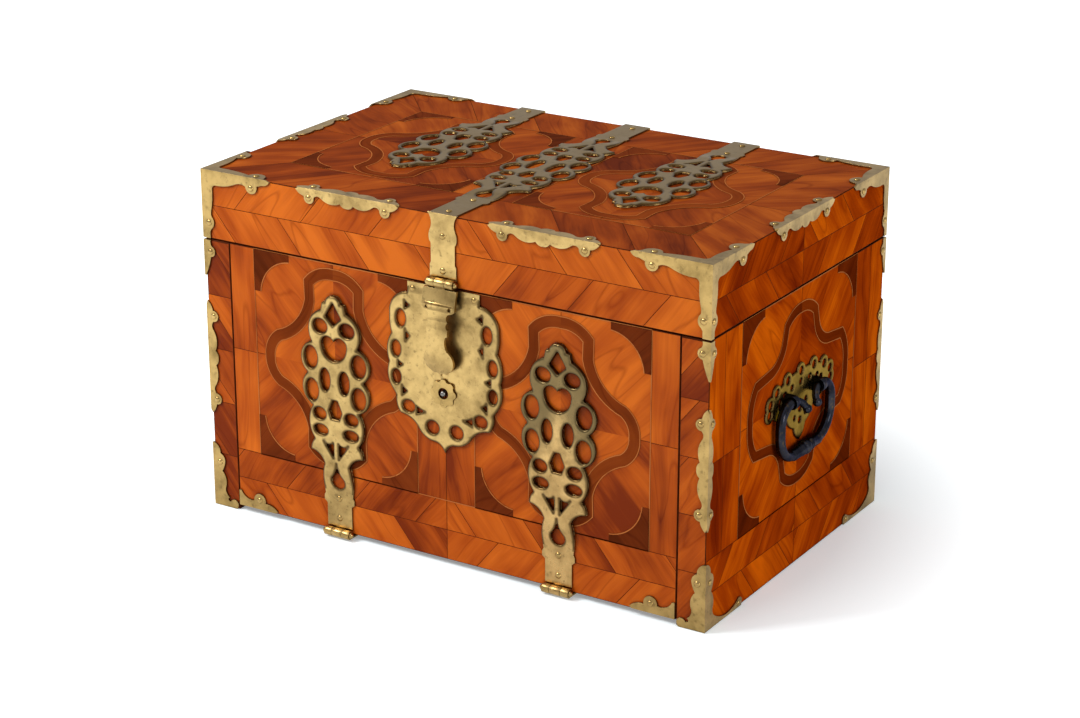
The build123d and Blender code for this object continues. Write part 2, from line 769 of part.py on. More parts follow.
def handle_bail():
    """Right-hand iron bail: inturned ends through the eyes, sloping shoulders and a thicker bar with a knop."""
    axis_x = half_width + bail_stand
    low = handle_height - bail_drop
    out = bail_width / 2 - bail_radius
    shoulder_y = out - bail_shoulder
    path = [
        ThreePointArc((shoulder_y, handle_height),
                      (out - bail_shoulder * 0.293, handle_height - bail_shoulder * 0.293),
                      (out, handle_height - bail_shoulder)),
        Line((out, handle_height - bail_shoulder), (out, low + bail_corner)),
        ThreePointArc((out, low + bail_corner),
                      (out - bail_corner * 0.293, low + bail_corner * 0.293),
                      (out - bail_corner, low)),
    ]
    pin_end = eye_spacing / 2 + eye_width / 2 + 0.6
    pin_start = eye_spacing / 2 - eye_width / 2 - 0.6
    wire = right_plane(axis_x) * Wire(path)
    section = Plane(origin=wire @ 0, z_dir=wire % 0) * Circle(bail_radius)
    half = sweep(section, path=wire)
    half += rod((axis_x, pin_end, handle_height), (axis_x, shoulder_y, handle_height), bail_radius)
    half += rod((axis_x, pin_start, handle_height), (axis_x, pin_end, handle_height), bail_pin)
    half += bail_finial(axis_x, pin_start)
    half += rod((axis_x, out - bail_corner, low), (axis_x, 0, low), bail_bar_radius)
    half += Pos(axis_x, out - bail_corner, low) * Sphere(bail_bar_radius)
    bail = half + mirror(half, about=Plane.XZ)
    for reach, radius in ((0, knop_radius), (8.5, knop_radius - 0.8), (-8.5, knop_radius - 0.8)):
        bail += Pos(axis_x, reach, low) * Sphere(radius)
    return bail


def bail_finial(axis_x, start):
    """Curled end of the bail inside an eye, bending down and away from the plate to a ball."""
    points = [(axis_x, start, handle_height),
              (axis_x + finial_lift * 0.3, start - finial_reach * 0.62, handle_height - finial_drop * 0.3),
              (axis_x + finial_lift, start - finial_reach, handle_height - finial_drop)]
    curl = ThreePointArc(*points)
    section = Plane(origin=curl @ 0, z_dir=curl % 0) * Circle(finial_radius)
    return sweep(section, path=curl) + Pos(*points[-1]) * Sphere(finial_radius + 0.9)


def drawer(x_low, x_high):
    """Open drawer with a thicker front, its top level with the sides."""
    x = (x_low + drawer_fit, x_high - drawer_fit)
    y = (fascia, fascia + drawer_depth)
    z = (drawer_floor + drawer_slide_fit, drawer_top - drawer_fit)
    body = block(x, y, z)
    inside = block((x[0] + drawer_wall, x[1] - drawer_wall), (y[0] + 2 * drawer_wall, y[1] - drawer_wall),
                   (z[0] + drawer_wall, z[1] + 1))
    return body - inside


def drawer_knob(x_centre):
    """Turned knob on a drawer front."""
    z = (drawer_floor + drawer_top) / 2
    profile = outline_face(
        (0, 0),
        ((knob_radius * 0.75, 0),),
        ((knob_radius * 0.75, knob_length * 0.1),),
        ((knob_radius * 0.42, knob_length * 0.2),),
        ((knob_radius * 0.42, knob_length * 0.5),),
        ((knob_radius, knob_length * 0.75), (knob_radius * 0.42, knob_length),),
        ((0, knob_length),),
        ((0, 0),),
    )
    turned = revolve(Plane.XZ * profile, axis=Axis.Z)
    return Plane(origin=(x_centre, fascia, z), x_dir=(1, 0, 0), z_dir=(0, -1, 0)) * turned


def lock_case():
    """Hollow lock case on the back of the fall front, open towards the panel, slotted for the bolt."""
    x = (-lock_width / 2, lock_width / 2)
    y = (front_inner, front_inner + lock_depth)
    z = (keyhole_z - 14.0, keyhole_z - 14.0 + lock_height)
    case = block(x, y, z)
    case -= block((x[0] + lock_wall, x[1] - lock_wall), (y[0] - 1, y[1] - lock_wall),
                  (z[0] + lock_wall, z[1] - lock_wall))
    case += block((bolt_guide_x - lock_wall, bolt_guide_x), (bolt_y - lock_wall, y[1] - lock_wall / 2),
                  (bolt_z - bolt_width, bolt_z + bolt_width))
    slot = block((x[0] + lock_wall, x[1] + 1), (bolt_y - bolt_fit, bolt_y + bolt_thickness + bolt_fit),
                 (bolt_z - bolt_width / 2 - bolt_fit, bolt_z + bolt_width / 2 + bolt_fit))
    return case - slot


def lock_bolt():
    """Flat bolt with a talon notch for the key; its tail rides in the slot of the case."""
    x = (bolt_guide_x - lock_wall - bolt_throw - 1.0, lock_width / 2 + 1.0)
    bar = block(x, (bolt_y, bolt_y + bolt_thickness), (bolt_z - bolt_width / 2, bolt_z + bolt_width / 2))
    notch = Pos(0, bolt_y + bolt_thickness / 2, bolt_z - bolt_width / 2) * Cylinder(
        3.4, bolt_thickness * 3, rotation=(90, 0, 0))
    return bar - notch


def drill_pin():
    """Steel pin that the hollow key slides over, standing on the lock case's back wall."""
    start = (0, front_inner + lock_depth - lock_wall, keyhole_z)
    end = (0, front_face - brass - rosette_thickness - drill_proud + drill_radius * 0.6, keyhole_z)
    tip = Pos(*end) * Sphere(drill_radius)
    return rod(start, end, drill_radius) + tip


def fall_front_panel():
    """Fall front board with the bore for the key."""
    panel = block((-front_half, front_half), (front_face, front_inner), (front_lift, case_top))
    bore = rod((0, front_face - 1, keyhole_z), (0, front_inner + 1, keyhole_z), keyhole_radius)
    return panel - bore


def case_floor():
    """Bottom board, recessed underneath for the leaves of the fall hinges."""
    floor = block((-inner_half, inner_half), (inner_front, back_inner), (0, floor_thickness))
    for x_centre in (-strap_spacing, strap_spacing):
        reach = strap_width / 2 + leaf_side_gap
        floor -= block((x_centre - reach, x_centre + reach), (inner_front - 1, inner_front + under_leaf + leaf_side_gap),
                       (-1, leaf_recess))
    return floor


def case_boards():
    """Boards of the case, by name."""
    low = -half_width + side_thickness
    inner = (-inner_half, inner_half)
    divider_span = (2 * inner_half - (drawer_count - 1) * inner_board) / drawer_count
    dividers = []
    for index in range(1, drawer_count):
        x = low + index * divider_span + (index - 1) * inner_board
        dividers.append(block((x, x + inner_board), (fascia, back_inner), (drawer_floor, drawer_top)))
    boards = {
        "case_side_left": block((-half_width, -inner_half), (-half_depth, half_depth), (0, case_top)),
        "case_side_right": block((inner_half, half_width), (-half_depth, half_depth), (0, case_top)),
        "case_back": block(inner, (back_inner, half_depth), (0, case_top)),
        "case_floor": case_floor(),
        "well_floor": block(inner, (fascia, back_inner), (drawer_top, well_floor_z)),
        "well_front": block(inner, (fascia, fascia + inner_board), (well_floor_z, case_top - 2.0)),
        "drawer_shelf": block(inner, (fascia, back_inner), (drawer_floor - inner_board, drawer_floor)),
        "drawer_dividers": Compound(children=dividers),
    }
    return boards, divider_span


def lid_boards():
    """Boards of the lid, by name."""
    rail_top = lid_top - lid_top_thickness
    z = (lid_bottom, rail_top)
    x = (-half_width, half_width)
    y_inner = half_depth - lid_rail_thickness
    end = block((half_width - lid_rail_thickness, half_width), (-y_inner, y_inner), z)
    return {
        "lid_top": block(x, (-half_depth, half_depth), (rail_top, lid_top)),
        "lid_rail_front": block(x, (-half_depth, -y_inner), z),
        "lid_rail_back": block(x, (y_inner, half_depth), z),
        "lid_rails_side": Compound(children=on_both_sides([end])),
    }


def mounts_at(places):
    """Edge mounts at the places, and all their nails."""
    mounts = []
    nails = []
    for place in places:
        mount, heads = edge_mount(*place)
        mounts.append(mount)
        nails += heads
    return mounts, nails


def lid_mounts():
    """Edge mounts on the lid's front and side edges, with their nails."""
    crown = ((0, 0, 1), mount_reach)
    places = []
    for side in (-1, 1):
        places.append(((side * lid_mount_centre, -half_depth, lid_top), (1, 0, 0), (((0, -1, 0), mount_reach), crown)))
        places.append(((side * half_width, 0, lid_top), (0, 1, 0), (((side, 0, 0), mount_reach), crown)))
    return mounts_at(places)


def body_mounts():
    """Middle mounts on the case's upright edges, with their nails."""
    places = []
    for side in (-1, 1):
        for face in (-1, 1):
            origin = (side * half_width, face * half_depth, body_mount_height)
            flanges = (((side, 0, 0), upright_mount_side_reach), ((0, face, 0), upright_mount_reach))
            places.append((origin, (0, 0, 1), flanges))
    return mounts_at(places)


def case_nails(corner_nails):
    """All nails on the case."""
    leaf_nails = []
    for x_centre in (-strap_spacing, 0, strap_spacing):
        for depth in (12.0, 24.0):
            leaf_nails.append((x_centre, seam_height - knuckle_stand - depth))
    return corner_nails + nails_on(back_plane(half_depth), leaf_nails)


def lid_nails(corner_nails):
    """All nails on the lid."""
    nails = list(corner_nails)
    top = top_plane(lid_top)
    for x_centre in (-strap_spacing, strap_spacing):
        nails += nails_on(top, [(x_centre, side_strap_shoulder - 6.0), (x_centre, half_depth - 8.0)])
    reaches = (centre_strap_shoulder - 6.0, half_depth - 9.0)
    nails += nails_on(top, [(0, side * reach) for side in (-1, 1) for reach in reaches])
    back_points = [(x, z) for x in (-strap_spacing, 0, strap_spacing) for z in (lid_bottom + 20.0, lid_top - 14.0)]
    nails += nails_on(back_plane(half_depth), back_points)
    nails += nails_on(front_plane(front_face), [(0, hasp_axis_z + knuckle_stand + 5.5), (0, lid_top - 18.5)])
    return nails


def front_nails(foot_nails):
    """All nails on the fall front."""
    points = []
    for x_centre in (-strap_spacing, strap_spacing):
        points += [(x_centre, front_strap_shoulder + 6.0), (x_centre, front_lift + 13.0)]
    plate_top = case_top - 0.4
    points += [(31.5, plate_top - 6.0), (-31.5, plate_top - 6.0)]
    return foot_nails + nails_on(front_plane(front_face), points)


def build_parts():
    """Every node of the strongbox, by name."""
    parts, divider_span = case_boards()
    parts.update(lid_boards())
    parts["fall_front_panel"] = fall_front_panel()

    corner, corner_nails = lid_corner()
    lid_edge, lid_edge_nails = lid_mounts()
    parts["lid_corner_mounts"] = Compound(children=on_four_corners([corner]))
    parts["lid_edge_mounts"] = Compound(children=lid_edge)
    parts["lid_nails"] = Compound(children=lid_nails(on_four_corners(corner_nails) + lid_edge_nails))

    feet = []
    foot_nails = []
    uppers = []
    for front in (True, False):
        mount, nails = bottom_corner(front)
        feet.append(mount)
        foot_nails += nails
        mount, nails = upper_mount(front)
        uppers.append(mount)
        foot_nails += nails
    middle, middle_nails = body_mounts()
    parts["case_bottom_corners"] = Compound(children=on_both_sides(feet))
    parts["case_upper_mounts"] = Compound(children=on_both_sides(uppers))
    parts["case_middle_mounts"] = Compound(children=middle)
    parts["case_nails"] = Compound(children=case_nails(on_both_sides(foot_nails) + middle_nails))

    small_foot, small_nails = front_foot()
    parts["front_corner_mounts"] = Compound(children=on_both_sides([small_foot]))
    parts["front_nails"] = Compound(children=front_nails(on_both_sides(small_nails)))

    for name, x_centre in (("left", -strap_spacing), ("right", strap_spacing)):
        parts[f"lid_strap_{name}"] = lid_strap(x_centre)
        parts[f"front_strap_{name}"] = front_strap(x_centre)
    parts["lid_strap_centre"] = centre_strap()
    lid_hinges = (-strap_spacing, 0, strap_spacing)
    fall_hinges = (-strap_spacing, strap_spacing)
    parts["lid_hinge_leaves"] = Compound(children=[lid_leaf(x) for x in lid_hinges])
    parts["lid_hinge_pins"] = Compound(children=[hinge_pin(x, lid_axis_y, seam_height) for x in lid_hinges])
    parts["fall_hinge_leaves"] = Compound(children=[fall_leaf(x) for x in fall_hinges])
    parts["fall_hinge_pins"] = Compound(children=[hinge_pin(x, fall_axis_y, front_lift) for x in fall_hinges])
    parts["hasp_pin"] = hinge_pin(0, fall_axis_y, hasp_axis_z)

    parts["hasp"] = hasp()
    parts["lock_plate"] = lock_plate()
    parts["keyhole_rosette"] = rosette()
    parts["drill_pin"] = drill_pin()
    parts["lock_case"] = lock_case()
    parts["lock_bolt"] = lock_bolt()

    for index, name in enumerate(("left", "middle", "right")):
        x_low = -inner_half + index * (divider_span + inner_board)
        parts[f"drawer_{name}"] = drawer(x_low, x_low + divider_span)
        parts[f"drawer_knob_{name}"] = drawer_knob(x_low + divider_span / 2)

    right_handle = {
        "handle_plate": handle_shield(),
        "handle_eyes": Compound(children=[handle_eye(-1), handle_eye(1)]),
        "handle": handle_bail(),
    }
    for name, shape in right_handle.items():
        parts[f"{name}_right"] = shape
        parts[f"{name}_left"] = mirror(shape, about=Plane.YZ)
    return parts


os.makedirs("parts", exist_ok=True)
for name, shape in build_parts().items():
    export_step(shape, f"parts/{name}.step")
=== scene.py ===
import math
import random

import bmesh
import bpy
from mathutils import Matrix, Vector
from mathutils.kdtree import KDTree


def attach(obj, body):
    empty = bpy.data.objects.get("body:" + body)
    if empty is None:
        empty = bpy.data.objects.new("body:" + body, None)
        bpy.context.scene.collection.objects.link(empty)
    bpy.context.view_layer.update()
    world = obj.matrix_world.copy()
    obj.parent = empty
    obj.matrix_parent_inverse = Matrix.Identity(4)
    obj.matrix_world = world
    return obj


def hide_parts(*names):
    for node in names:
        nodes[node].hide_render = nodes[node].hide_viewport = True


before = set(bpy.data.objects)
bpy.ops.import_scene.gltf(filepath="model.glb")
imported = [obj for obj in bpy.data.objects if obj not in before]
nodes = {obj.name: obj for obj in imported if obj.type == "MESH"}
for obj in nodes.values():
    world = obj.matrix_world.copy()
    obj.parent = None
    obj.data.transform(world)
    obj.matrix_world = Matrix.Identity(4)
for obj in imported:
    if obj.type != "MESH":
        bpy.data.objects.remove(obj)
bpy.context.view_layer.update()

MM = 0.001
chance = random.Random(7)

# Faces of the box, in millimetres
HALF_X = 258.5
HALF_Y = 164.0
TOP = 323.5
CASE_TOP = 259.4
LID_BOTTOM = 260.6
DOOR_HALF = 231.2
DOOR_BOTTOM = 5
POST_INNER = 232
SHEET_BRASS = 1.5
STRAP_X = 116.0

# Points closer than this are one point, in metres
WELD = 0.000004

BLACK = (0, 0, 0)
WHITE = (1, 1, 1)


def added(name, data):
    """New object in the scene."""
    made = bpy.data.objects.new(name, data)
    bpy.context.collection.objects.link(made)
    return made


# Nodes

def new_material(name):
    """Empty node material: its tree and its principled shader."""
    material = bpy.data.materials.new(name)
    material.use_nodes = True
    tree = material.node_tree
    return material, tree, tree.nodes["Principled BSDF"]


def set_or_link(tree, socket, value):
    """Give a socket a value, or join it to the socket that holds the value."""
    if isinstance(value, bpy.types.NodeSocket):
        tree.links.new(value, socket)
    elif isinstance(value, tuple):
        socket.default_value = (*value, 1)
    else:
        socket.default_value = value


def ramp(tree, source, stops):
    """Colour ramp fed by source, with (position, colour) stops."""
    made = tree.nodes.new("ShaderNodeValToRGB")
    elements = made.color_ramp.elements
    for index, (position, colour) in enumerate(stops):
        stop = elements[index] if index < 2 else elements.new(position)
        stop.position = position
        stop.color = (*colour, 1)
    tree.links.new(source, made.inputs["Fac"])
    return made.outputs["Color"]


def mask(tree, source, start, end, most=1.0):
    """Share of an effect: none up to start, rising to most at end."""
    return ramp(tree, source, [(start, BLACK), (end, (most, most, most))])


def mixed(tree, factor, first, second, blend="MIX"):
    """Mix of two colours; each of the three may be a socket or a value."""
    made = tree.nodes.new("ShaderNodeMix")
    made.data_type = "RGBA"
    made.blend_type = blend
    for index, value in ((0, factor), (6, first), (7, second)):
        set_or_link(tree, made.inputs[index], value)
    return made.outputs[2]


def maths(tree, operation, first, second=0.0):
    """Maths node on sockets or values."""
    made = tree.nodes.new("ShaderNodeMath")
    made.operation = operation
    for socket, value in zip(made.inputs, (first, second)):
        set_or_link(tree, socket, value)
    return made.outputs[0]


def weighted(tree, *layers):
    """Sum of (socket, weight) layers."""
    total = 0.0
    for socket, weight in layers:
        total = maths(tree, "ADD", maths(tree, "MULTIPLY", socket, weight), total)
    return total


def distance_from(tree, source, value):
    """How far a socket is from a value, on either side."""
    return maths(tree, "ABSOLUTE", maths(tree, "SUBTRACT", source, value))


def coordinate(tree, kind):
    """Texture coordinate of the named kind."""
    return tree.nodes.new("ShaderNodeTexCoord").outputs[kind]


def component(tree, vector, axis):
    """One of the X, Y and Z of a vector."""
    made = tree.nodes.new("ShaderNodeSeparateXYZ")
    tree.links.new(vector, made.inputs[0])
    return made.outputs[axis]


def attribute(tree, name):
    """Value of a mesh attribute."""
    made = tree.nodes.new("ShaderNodeAttribute")
    made.attribute_name = name
    return made.outputs["Fac"]


def noise(tree, vector, scale, detail, roughness):
    """Noise with its scale per metre, one number for each axis or one for all."""
    mapping = tree.nodes.new("ShaderNodeMapping")
    mapping.inputs["Scale"].default_value = scale if isinstance(scale, tuple) else (scale, scale, scale)
    tree.links.new(vector, mapping.inputs["Vector"])
    made = tree.nodes.new("ShaderNodeTexNoise")
    made.inputs["Scale"].default_value = 1.0
    made.inputs["Detail"].default_value = detail
    made.inputs["Roughness"].default_value = roughness
    tree.links.new(mapping.outputs[0], made.inputs["Vector"])
    return made.outputs[0]


def bump(tree, shader, height, strength, distance):
    """Bump from a height socket."""
    made = tree.nodes.new("ShaderNodeBump")
    made.inputs["Strength"].default_value = strength
    made.inputs["Distance"].default_value = distance
    tree.links.new(height, made.inputs["Height"])
    tree.links.new(made.outputs[0], shader.inputs["Normal"])


def direct_rays(tree):
    """1 for what the camera sees, also in a reflection, and 0 for light that surfaces pass on."""
    rays = tree.nodes.new("ShaderNodeLightPath").outputs
    seen = maths(tree, "MAXIMUM", rays["Is Camera Ray"], rays["Is Glossy Ray"])
    return maths(tree, "MAXIMUM", seen, rays["Is Transmission Ray"])


def corner_shaded(tree, colour, distance, depth):
    """Colour darkened in the corners where pieces meet, within a distance in metres: painted shade."""
    made = tree.nodes.new("ShaderNodeAmbientOcclusion")
    made.samples = 6
    made.inputs["Distance"].default_value = distance
    corner_shade = (depth, depth * 0.85, depth * 0.7)
    shade = ramp(tree, made.outputs["AO"], [(0.35, corner_shade), (0.92, WHITE)])
    return mixed(tree, 1.0, colour, shade, "MULTIPLY")


# Wood

def wandering(tree, vector):
    """Grain coordinates, bent a little across the grain."""
    made = tree.nodes.new("ShaderNodeVectorMath")
    made.operation = "MULTIPLY_ADD"
    tree.links.new(noise(tree, vector, (12, 30, 30), 1.0, 0.5), made.inputs[0])
    made.inputs[1].default_value = (0.0, 0.016, 0.016)
    tree.links.new(vector, made.inputs[2])
    return made.outputs[0]


def veined(tree, vector, colour):
    """Colour with thin darker lines along the grain."""
    ripple = noise(tree, vector, (5, 32, 32), 1.0, 0.4)
    vein = ramp(tree, distance_from(tree, ripple, 0.5), [(0.0, (0.74, 0.66, 0.6)), (0.016, WHITE)])
    return mixed(tree, 1.0, colour, vein, "MULTIPLY")


def wood(name, dark, middle, light, varnish, solid=False):
    """Figured wood under varnish. Its grain follows each veneer piece, or the X axis in solid wood."""
    material, tree, shader = new_material(name)
    if solid:
        vector = coordinate(tree, "Object")
    else:
        picked = tree.nodes.new("ShaderNodeUVMap")
        picked.uv_map = "grain"
        vector = picked.outputs[0]
    bent = wandering(tree, vector)
    figure = noise(tree, bent, (5, 58, 58), 3.0, 0.55)
    streak = noise(tree, bent, (14, 480, 480), 3.0, 0.55)
    cloud = noise(tree, vector, (14, 26, 26), 2.0, 0.5)
    shade = weighted(tree, (figure, 0.48), (streak, 0.12), (cloud, 0.40), (attribute(tree, "tone"), 0.26))
    colour = ramp(tree, shade, [(0.34, dark), (0.50, middle), (0.68, light)])
    colour = veined(tree, bent, colour)
    if not solid:
        # Painted shade where the veneer meets the brass and in the joints
        colour = corner_shaded(tree, colour, 0.004, 0.25)
    tree.links.new(colour, shader.inputs["Base Color"])
    shader.inputs["Roughness"].default_value = 0.5
    shader.inputs["Specular IOR Level"].default_value = 0.0
    shader.inputs["Coat Weight"].default_value = varnish
    shader.inputs["Coat Roughness"].default_value = 0.18
    bump(tree, shader, streak, 0.05, 0.0003)
    return material


# Dark, middle and light tone of each wood, and how much varnish lies on it
VENEER = wood("veneer", (0.17, 0.021, 0.002), (0.40, 0.067, 0.005), (0.61, 0.130, 0.010), 0.10)
SIDE_VENEER = wood("veneer_side", (0.19, 0.016, 0.001), (0.41, 0.050, 0.001), (0.73, 0.128, 0.002), 0.0)
# Veneer of the lid's top, darker than the front's: painted shade
SHADED_TOP_VENEER = wood("veneer_top", (0.12, 0.016, 0.002), (0.27, 0.044, 0.004), (0.44, 0.095, 0.009), 0.06)
BAND = wood("veneer_band", (0.10, 0.016, 0.002), (0.18, 0.030, 0.004), (0.26, 0.050, 0.007), 0.03)
CORNER = wood("veneer_corner", (0.08, 0.013, 0.002), (0.14, 0.023, 0.004), (0.21, 0.038, 0.006), 0.03)
SIDE_BAND = wood("veneer_side_band", (0.085, 0.010, 0.001), (0.16, 0.019, 0.001), (0.24, 0.033, 0.002), 0.0)
SIDE_CORNER = wood("veneer_side_corner", (0.07, 0.008, 0.001), (0.13, 0.015, 0.001), (0.20, 0.026, 0.002),
                   0.0)
LINE = wood("veneer_line", (0.34, 0.085, 0.018), (0.43, 0.122, 0.028), (0.51, 0.165, 0.042), 0.03)
BOARD = wood("board", (0.04, 0.008, 0.002), (0.07, 0.014, 0.003), (0.10, 0.021, 0.005), 0.03, solid=True)
INNER = wood("inner_wood", (0.10, 0.034, 0.008), (0.22, 0.080, 0.018), (0.33, 0.135, 0.032), 0.10,
             solid=True)

# The woods of each face, in the order of the veneer's wood numbers
FRONT_WOODS = (VENEER, BAND, CORNER, LINE)
SIDE_WOODS = (SIDE_VENEER, SIDE_BAND, SIDE_CORNER, LINE)
TOP_WOODS = (SHADED_TOP_VENEER, BAND, CORNER, LINE)


# Metal

# Colours that metals take on at a glancing angle
BRASS_EDGE = (0.98, 0.95, 0.90)
OLIVE_EDGE = (0.88, 0.72, 0.46)
GREY_EDGE = (0.5, 0.5, 0.55)

# Colours of the pits, and of the patina along the rims of pierced plates, dark enough to stand also for
# painted shade at the openings' edges
PIT = (0.11, 0.07, 0.026)
PATINA_AND_SHADE = (0.085, 0.050, 0.017)


def shaded_with_height(tree, source, patches, colour, strap_shade):
    """Colour under painted shade that grows with height and away from a strap's middle."""
    shade, low, high = strap_shade
    unevenness = 0.05
    from_middle = maths(tree, "ABSOLUTE", component(tree, source, "X"))
    aside = distance_from(tree, from_middle, STRAP_X * MM)
    height = weighted(tree, (component(tree, source, "Z"), 1.0), (patches, unevenness), (aside, 1.3))
    above_low = maths(tree, "SUBTRACT", height, low + unevenness / 2)
    share = maths(tree, "DIVIDE", above_low, high - low)
    return mixed(tree, mask(tree, share, 0.0, 1.0, 0.85), colour, shade)


def metal(name, base, worn, roughness, edge=BRASS_EDGE, grain=700.0, dent=0.25, strap_shade=None, above=None):
    """Old metal in two patchy tones with dark pits and a hammered surface.

    Edge is its colour at a glancing angle, and above its colour on faces that look up, painted shade.
    Grain is the scale of its fine texture per metre, and dent the strength of its bumps.
    Painted shade on a strap is given as a colour and the two heights between which it thickens, in metres.
    """
    material, tree, shader = new_material(name)
    source = coordinate(tree, "Object")
    patches = noise(tree, source, 45.0, 5.0, 0.62)
    colour = mixed(tree, mask(tree, patches, 0.40, 0.68), base, worn)
    # Painted shade on the faces that look up
    if above:
        upward = component(tree, coordinate(tree, "Normal"), "Z")
        colour = mixed(tree, mask(tree, upward, 0.5, 0.97), colour, above)
    pits = noise(tree, source, 210.0, 3.0, 0.6)
    colour = mixed(tree, mask(tree, pits, 0.57, 0.72, 0.6), colour, PIT)
    # Patina near the rims, deepened into painted shade at the openings' edges
    colour = mixed(tree, mask(tree, attribute(tree, "patina_and_shade"), 0.12, 0.70, 0.95), colour, PATINA_AND_SHADE)
    # Painted shade over a strap's upper part and sides
    if strap_shade:
        colour = shaded_with_height(tree, source, patches, colour, strap_shade)
    # Painted shade round the nail heads and where pieces meet
    tree.links.new(corner_shaded(tree, colour, 0.002, 0.3), shader.inputs["Base Color"])
    unevenness = 0.24
    rough = maths(tree, "ADD", maths(tree, "MULTIPLY", patches, unevenness), roughness - unevenness / 2)
    tree.links.new(rough, shader.inputs["Roughness"])
    shader.inputs["Metallic"].default_value = 1.0
    shader.inputs["Specular Tint"].default_value = (*edge, 1)
    fine = noise(tree, source, grain, 3.0, 0.5)
    hammered = noise(tree, source, 150.0, 2.0, 0.5)
    bump(tree, shader, weighted(tree, (fine, 0.12), (hammered, 1.0)), dent, 0.0006)
    return material


BRIGHT = (0.45, 0.30, 0.112)
BRIGHT_WORN = (0.23, 0.148, 0.052)

# Main tone, worn tone and roughness of each metal
BRASS = metal("brass", BRIGHT, BRIGHT_WORN, 0.33)
# Brass of the lid's straps, with painted shade on the faces that look up
STRAP_BRASS = metal("strap_brass", BRIGHT, BRIGHT_WORN, 0.33, above=(0.24, 0.155, 0.055))
# Darker copy of the bright brass for the corner mounts and the rosette: painted shade
SHADED_MOUNT_BRASS = metal("shaded_mount_brass", (0.39, 0.255, 0.090), (0.21, 0.135, 0.045), 0.33)
# Brass of the right front strap, with painted shade over its upper part and sides, where the box's right
# gets less light
SHADED_STRAP_BRASS = metal("shaded_strap_brass", (0.50, 0.32, 0.125), (0.27, 0.165, 0.06), 0.30,
                   strap_shade=((0.095, 0.068, 0.030), 0.140, 0.180))
# Darker copy of the brass for the handle plates on the sides, which stand in shade: painted shade
SHADED_SIDE_BRASS = metal("shaded_side_brass", (0.19, 0.122, 0.036), (0.095, 0.060, 0.018), 0.28, OLIVE_EDGE)
NAIL_BRASS = metal("nail_brass", (0.42, 0.275, 0.098), (0.22, 0.14, 0.048), 0.24, dent=0.1)
IRON = metal("iron", (0.014, 0.015, 0.021), (0.040, 0.040, 0.048), 0.27, GREY_EDGE, 900.0, 0.35)
STEEL = metal("steel", (0.30, 0.29, 0.28), (0.12, 0.11, 0.10), 0.30, GREY_EDGE)


# Flat outlines, in millimetres

def arc_points(start, via, end, count):
    """Points along the circular arc through three points, without its start."""
    ax, ay = start
    bx, by = via
    cx, cy = end
    turn = 2 * (ax * (by - cy) + bx * (cy - ay) + cx * (ay - by))
    if abs(turn) < 1e-6:
        return [end]
    a2, b2, c2 = ax * ax + ay * ay, bx * bx + by * by, cx * cx + cy * cy
    ox = (a2 * (by - cy) + b2 * (cy - ay) + c2 * (ay - by)) / turn
    oy = (a2 * (cx - bx) + b2 * (ax - cx) + c2 * (bx - ax)) / turn
    radius = math.hypot(ax - ox, ay - oy)
    first = math.atan2(ay - oy, ax - ox)
    middle = math.atan2(by - oy, bx - ox)
    last = math.atan2(cy - oy, cx - ox)
    sweep = (last - first) % math.tau
    if (middle - first) % math.tau > sweep:
        sweep -= math.tau
    angles = [first + sweep * (index + 1) / count for index in range(count)]
    return [(ox + radius * math.cos(angle), oy + radius * math.sin(angle)) for angle in angles]


def path_points(start, *steps, count=10):
    """Points of a path. A step is (end,) for a straight run or (via, end) for an arc."""
    points = [start]
    for step in steps:
        if len(step) == 2:
            points += arc_points(points[-1], *step, count)
        else:
            points.append(step[0])
    return points


def offset(points, distance):
    """Closed outline moved to its right by distance, with mitred corners."""
    moved = []
    total = len(points)
    for index in range(total):
        before = Vector(points[index - 1])
        here = Vector(points[index])
        after = Vector(points[(index + 1) % total])
        first = (here - before).normalized()
        second = (after - here).normalized()
        normal = Vector((first.y + second.y, -first.x - second.x)).normalized()
        # The floor keeps the tip of a sharp corner from running far out
        lean = max(0.45, normal.dot(Vector((first.y, -first.x))))
        moved.append(tuple(here + normal * (distance / lean)))
    return moved


def shrunk(points, distance):
    """Closed outline drawn in by distance, whichever way round it runs."""
    area = sum(a[0] * b[1] - b[0] * a[1] for a, b in zip(points, points[1:] + points[:1]))
    return offset(points, -distance if area > 0 else distance)


def clipped(points, low, high):
    """Polygon cut to the rectangle from low to high."""
    for axis in (0, 1):
        for limit, sign in ((low[axis], 1), (high[axis], -1)):
            kept = []
            for index, here in enumerate(points):
                before = points[index - 1]
                here_in = sign * (here[axis] - limit) >= 0
                before_in = sign * (before[axis] - limit) >= 0
                if here_in != before_in:
                    share = (limit - before[axis]) / (here[axis] - before[axis])
                    kept.append(tuple(b + (h - b) * share for b, h in zip(before, here)))
                if here_in:
                    kept.append(here)
            points = kept
            if not points:
                return []
    return points


def rectangle(low, high):
    """Corners of the rectangle from low to high."""
    return [low, (high[0], low[1]), high, (low[0], high[1])]


def mirrored(side, near, far, bottom, top):
    """Low and high corner of a rectangle that lies between two distances from the middle, on one side."""
    left, right = sorted((side * near, side * far))
    return (left, bottom), (right, top)


def quarter_of(quadrant, middle, side, rise):
    """One quarter of a lobed outline, from its upper end to its outer end."""
    return [(middle[0] + side * x, middle[1] + rise * y) for x, y in quadrant]


def lobed(quadrant, middle):
    """Closed lobed outline from one quarter."""
    whole = quarter_of(quadrant, middle, 1, 1)
    whole += quarter_of(quadrant, middle, 1, -1)[::-1][1:]
    whole += quarter_of(quadrant, middle, -1, -1)[1:]
    whole += quarter_of(quadrant, middle, -1, 1)[::-1][1:-1]
    return whole


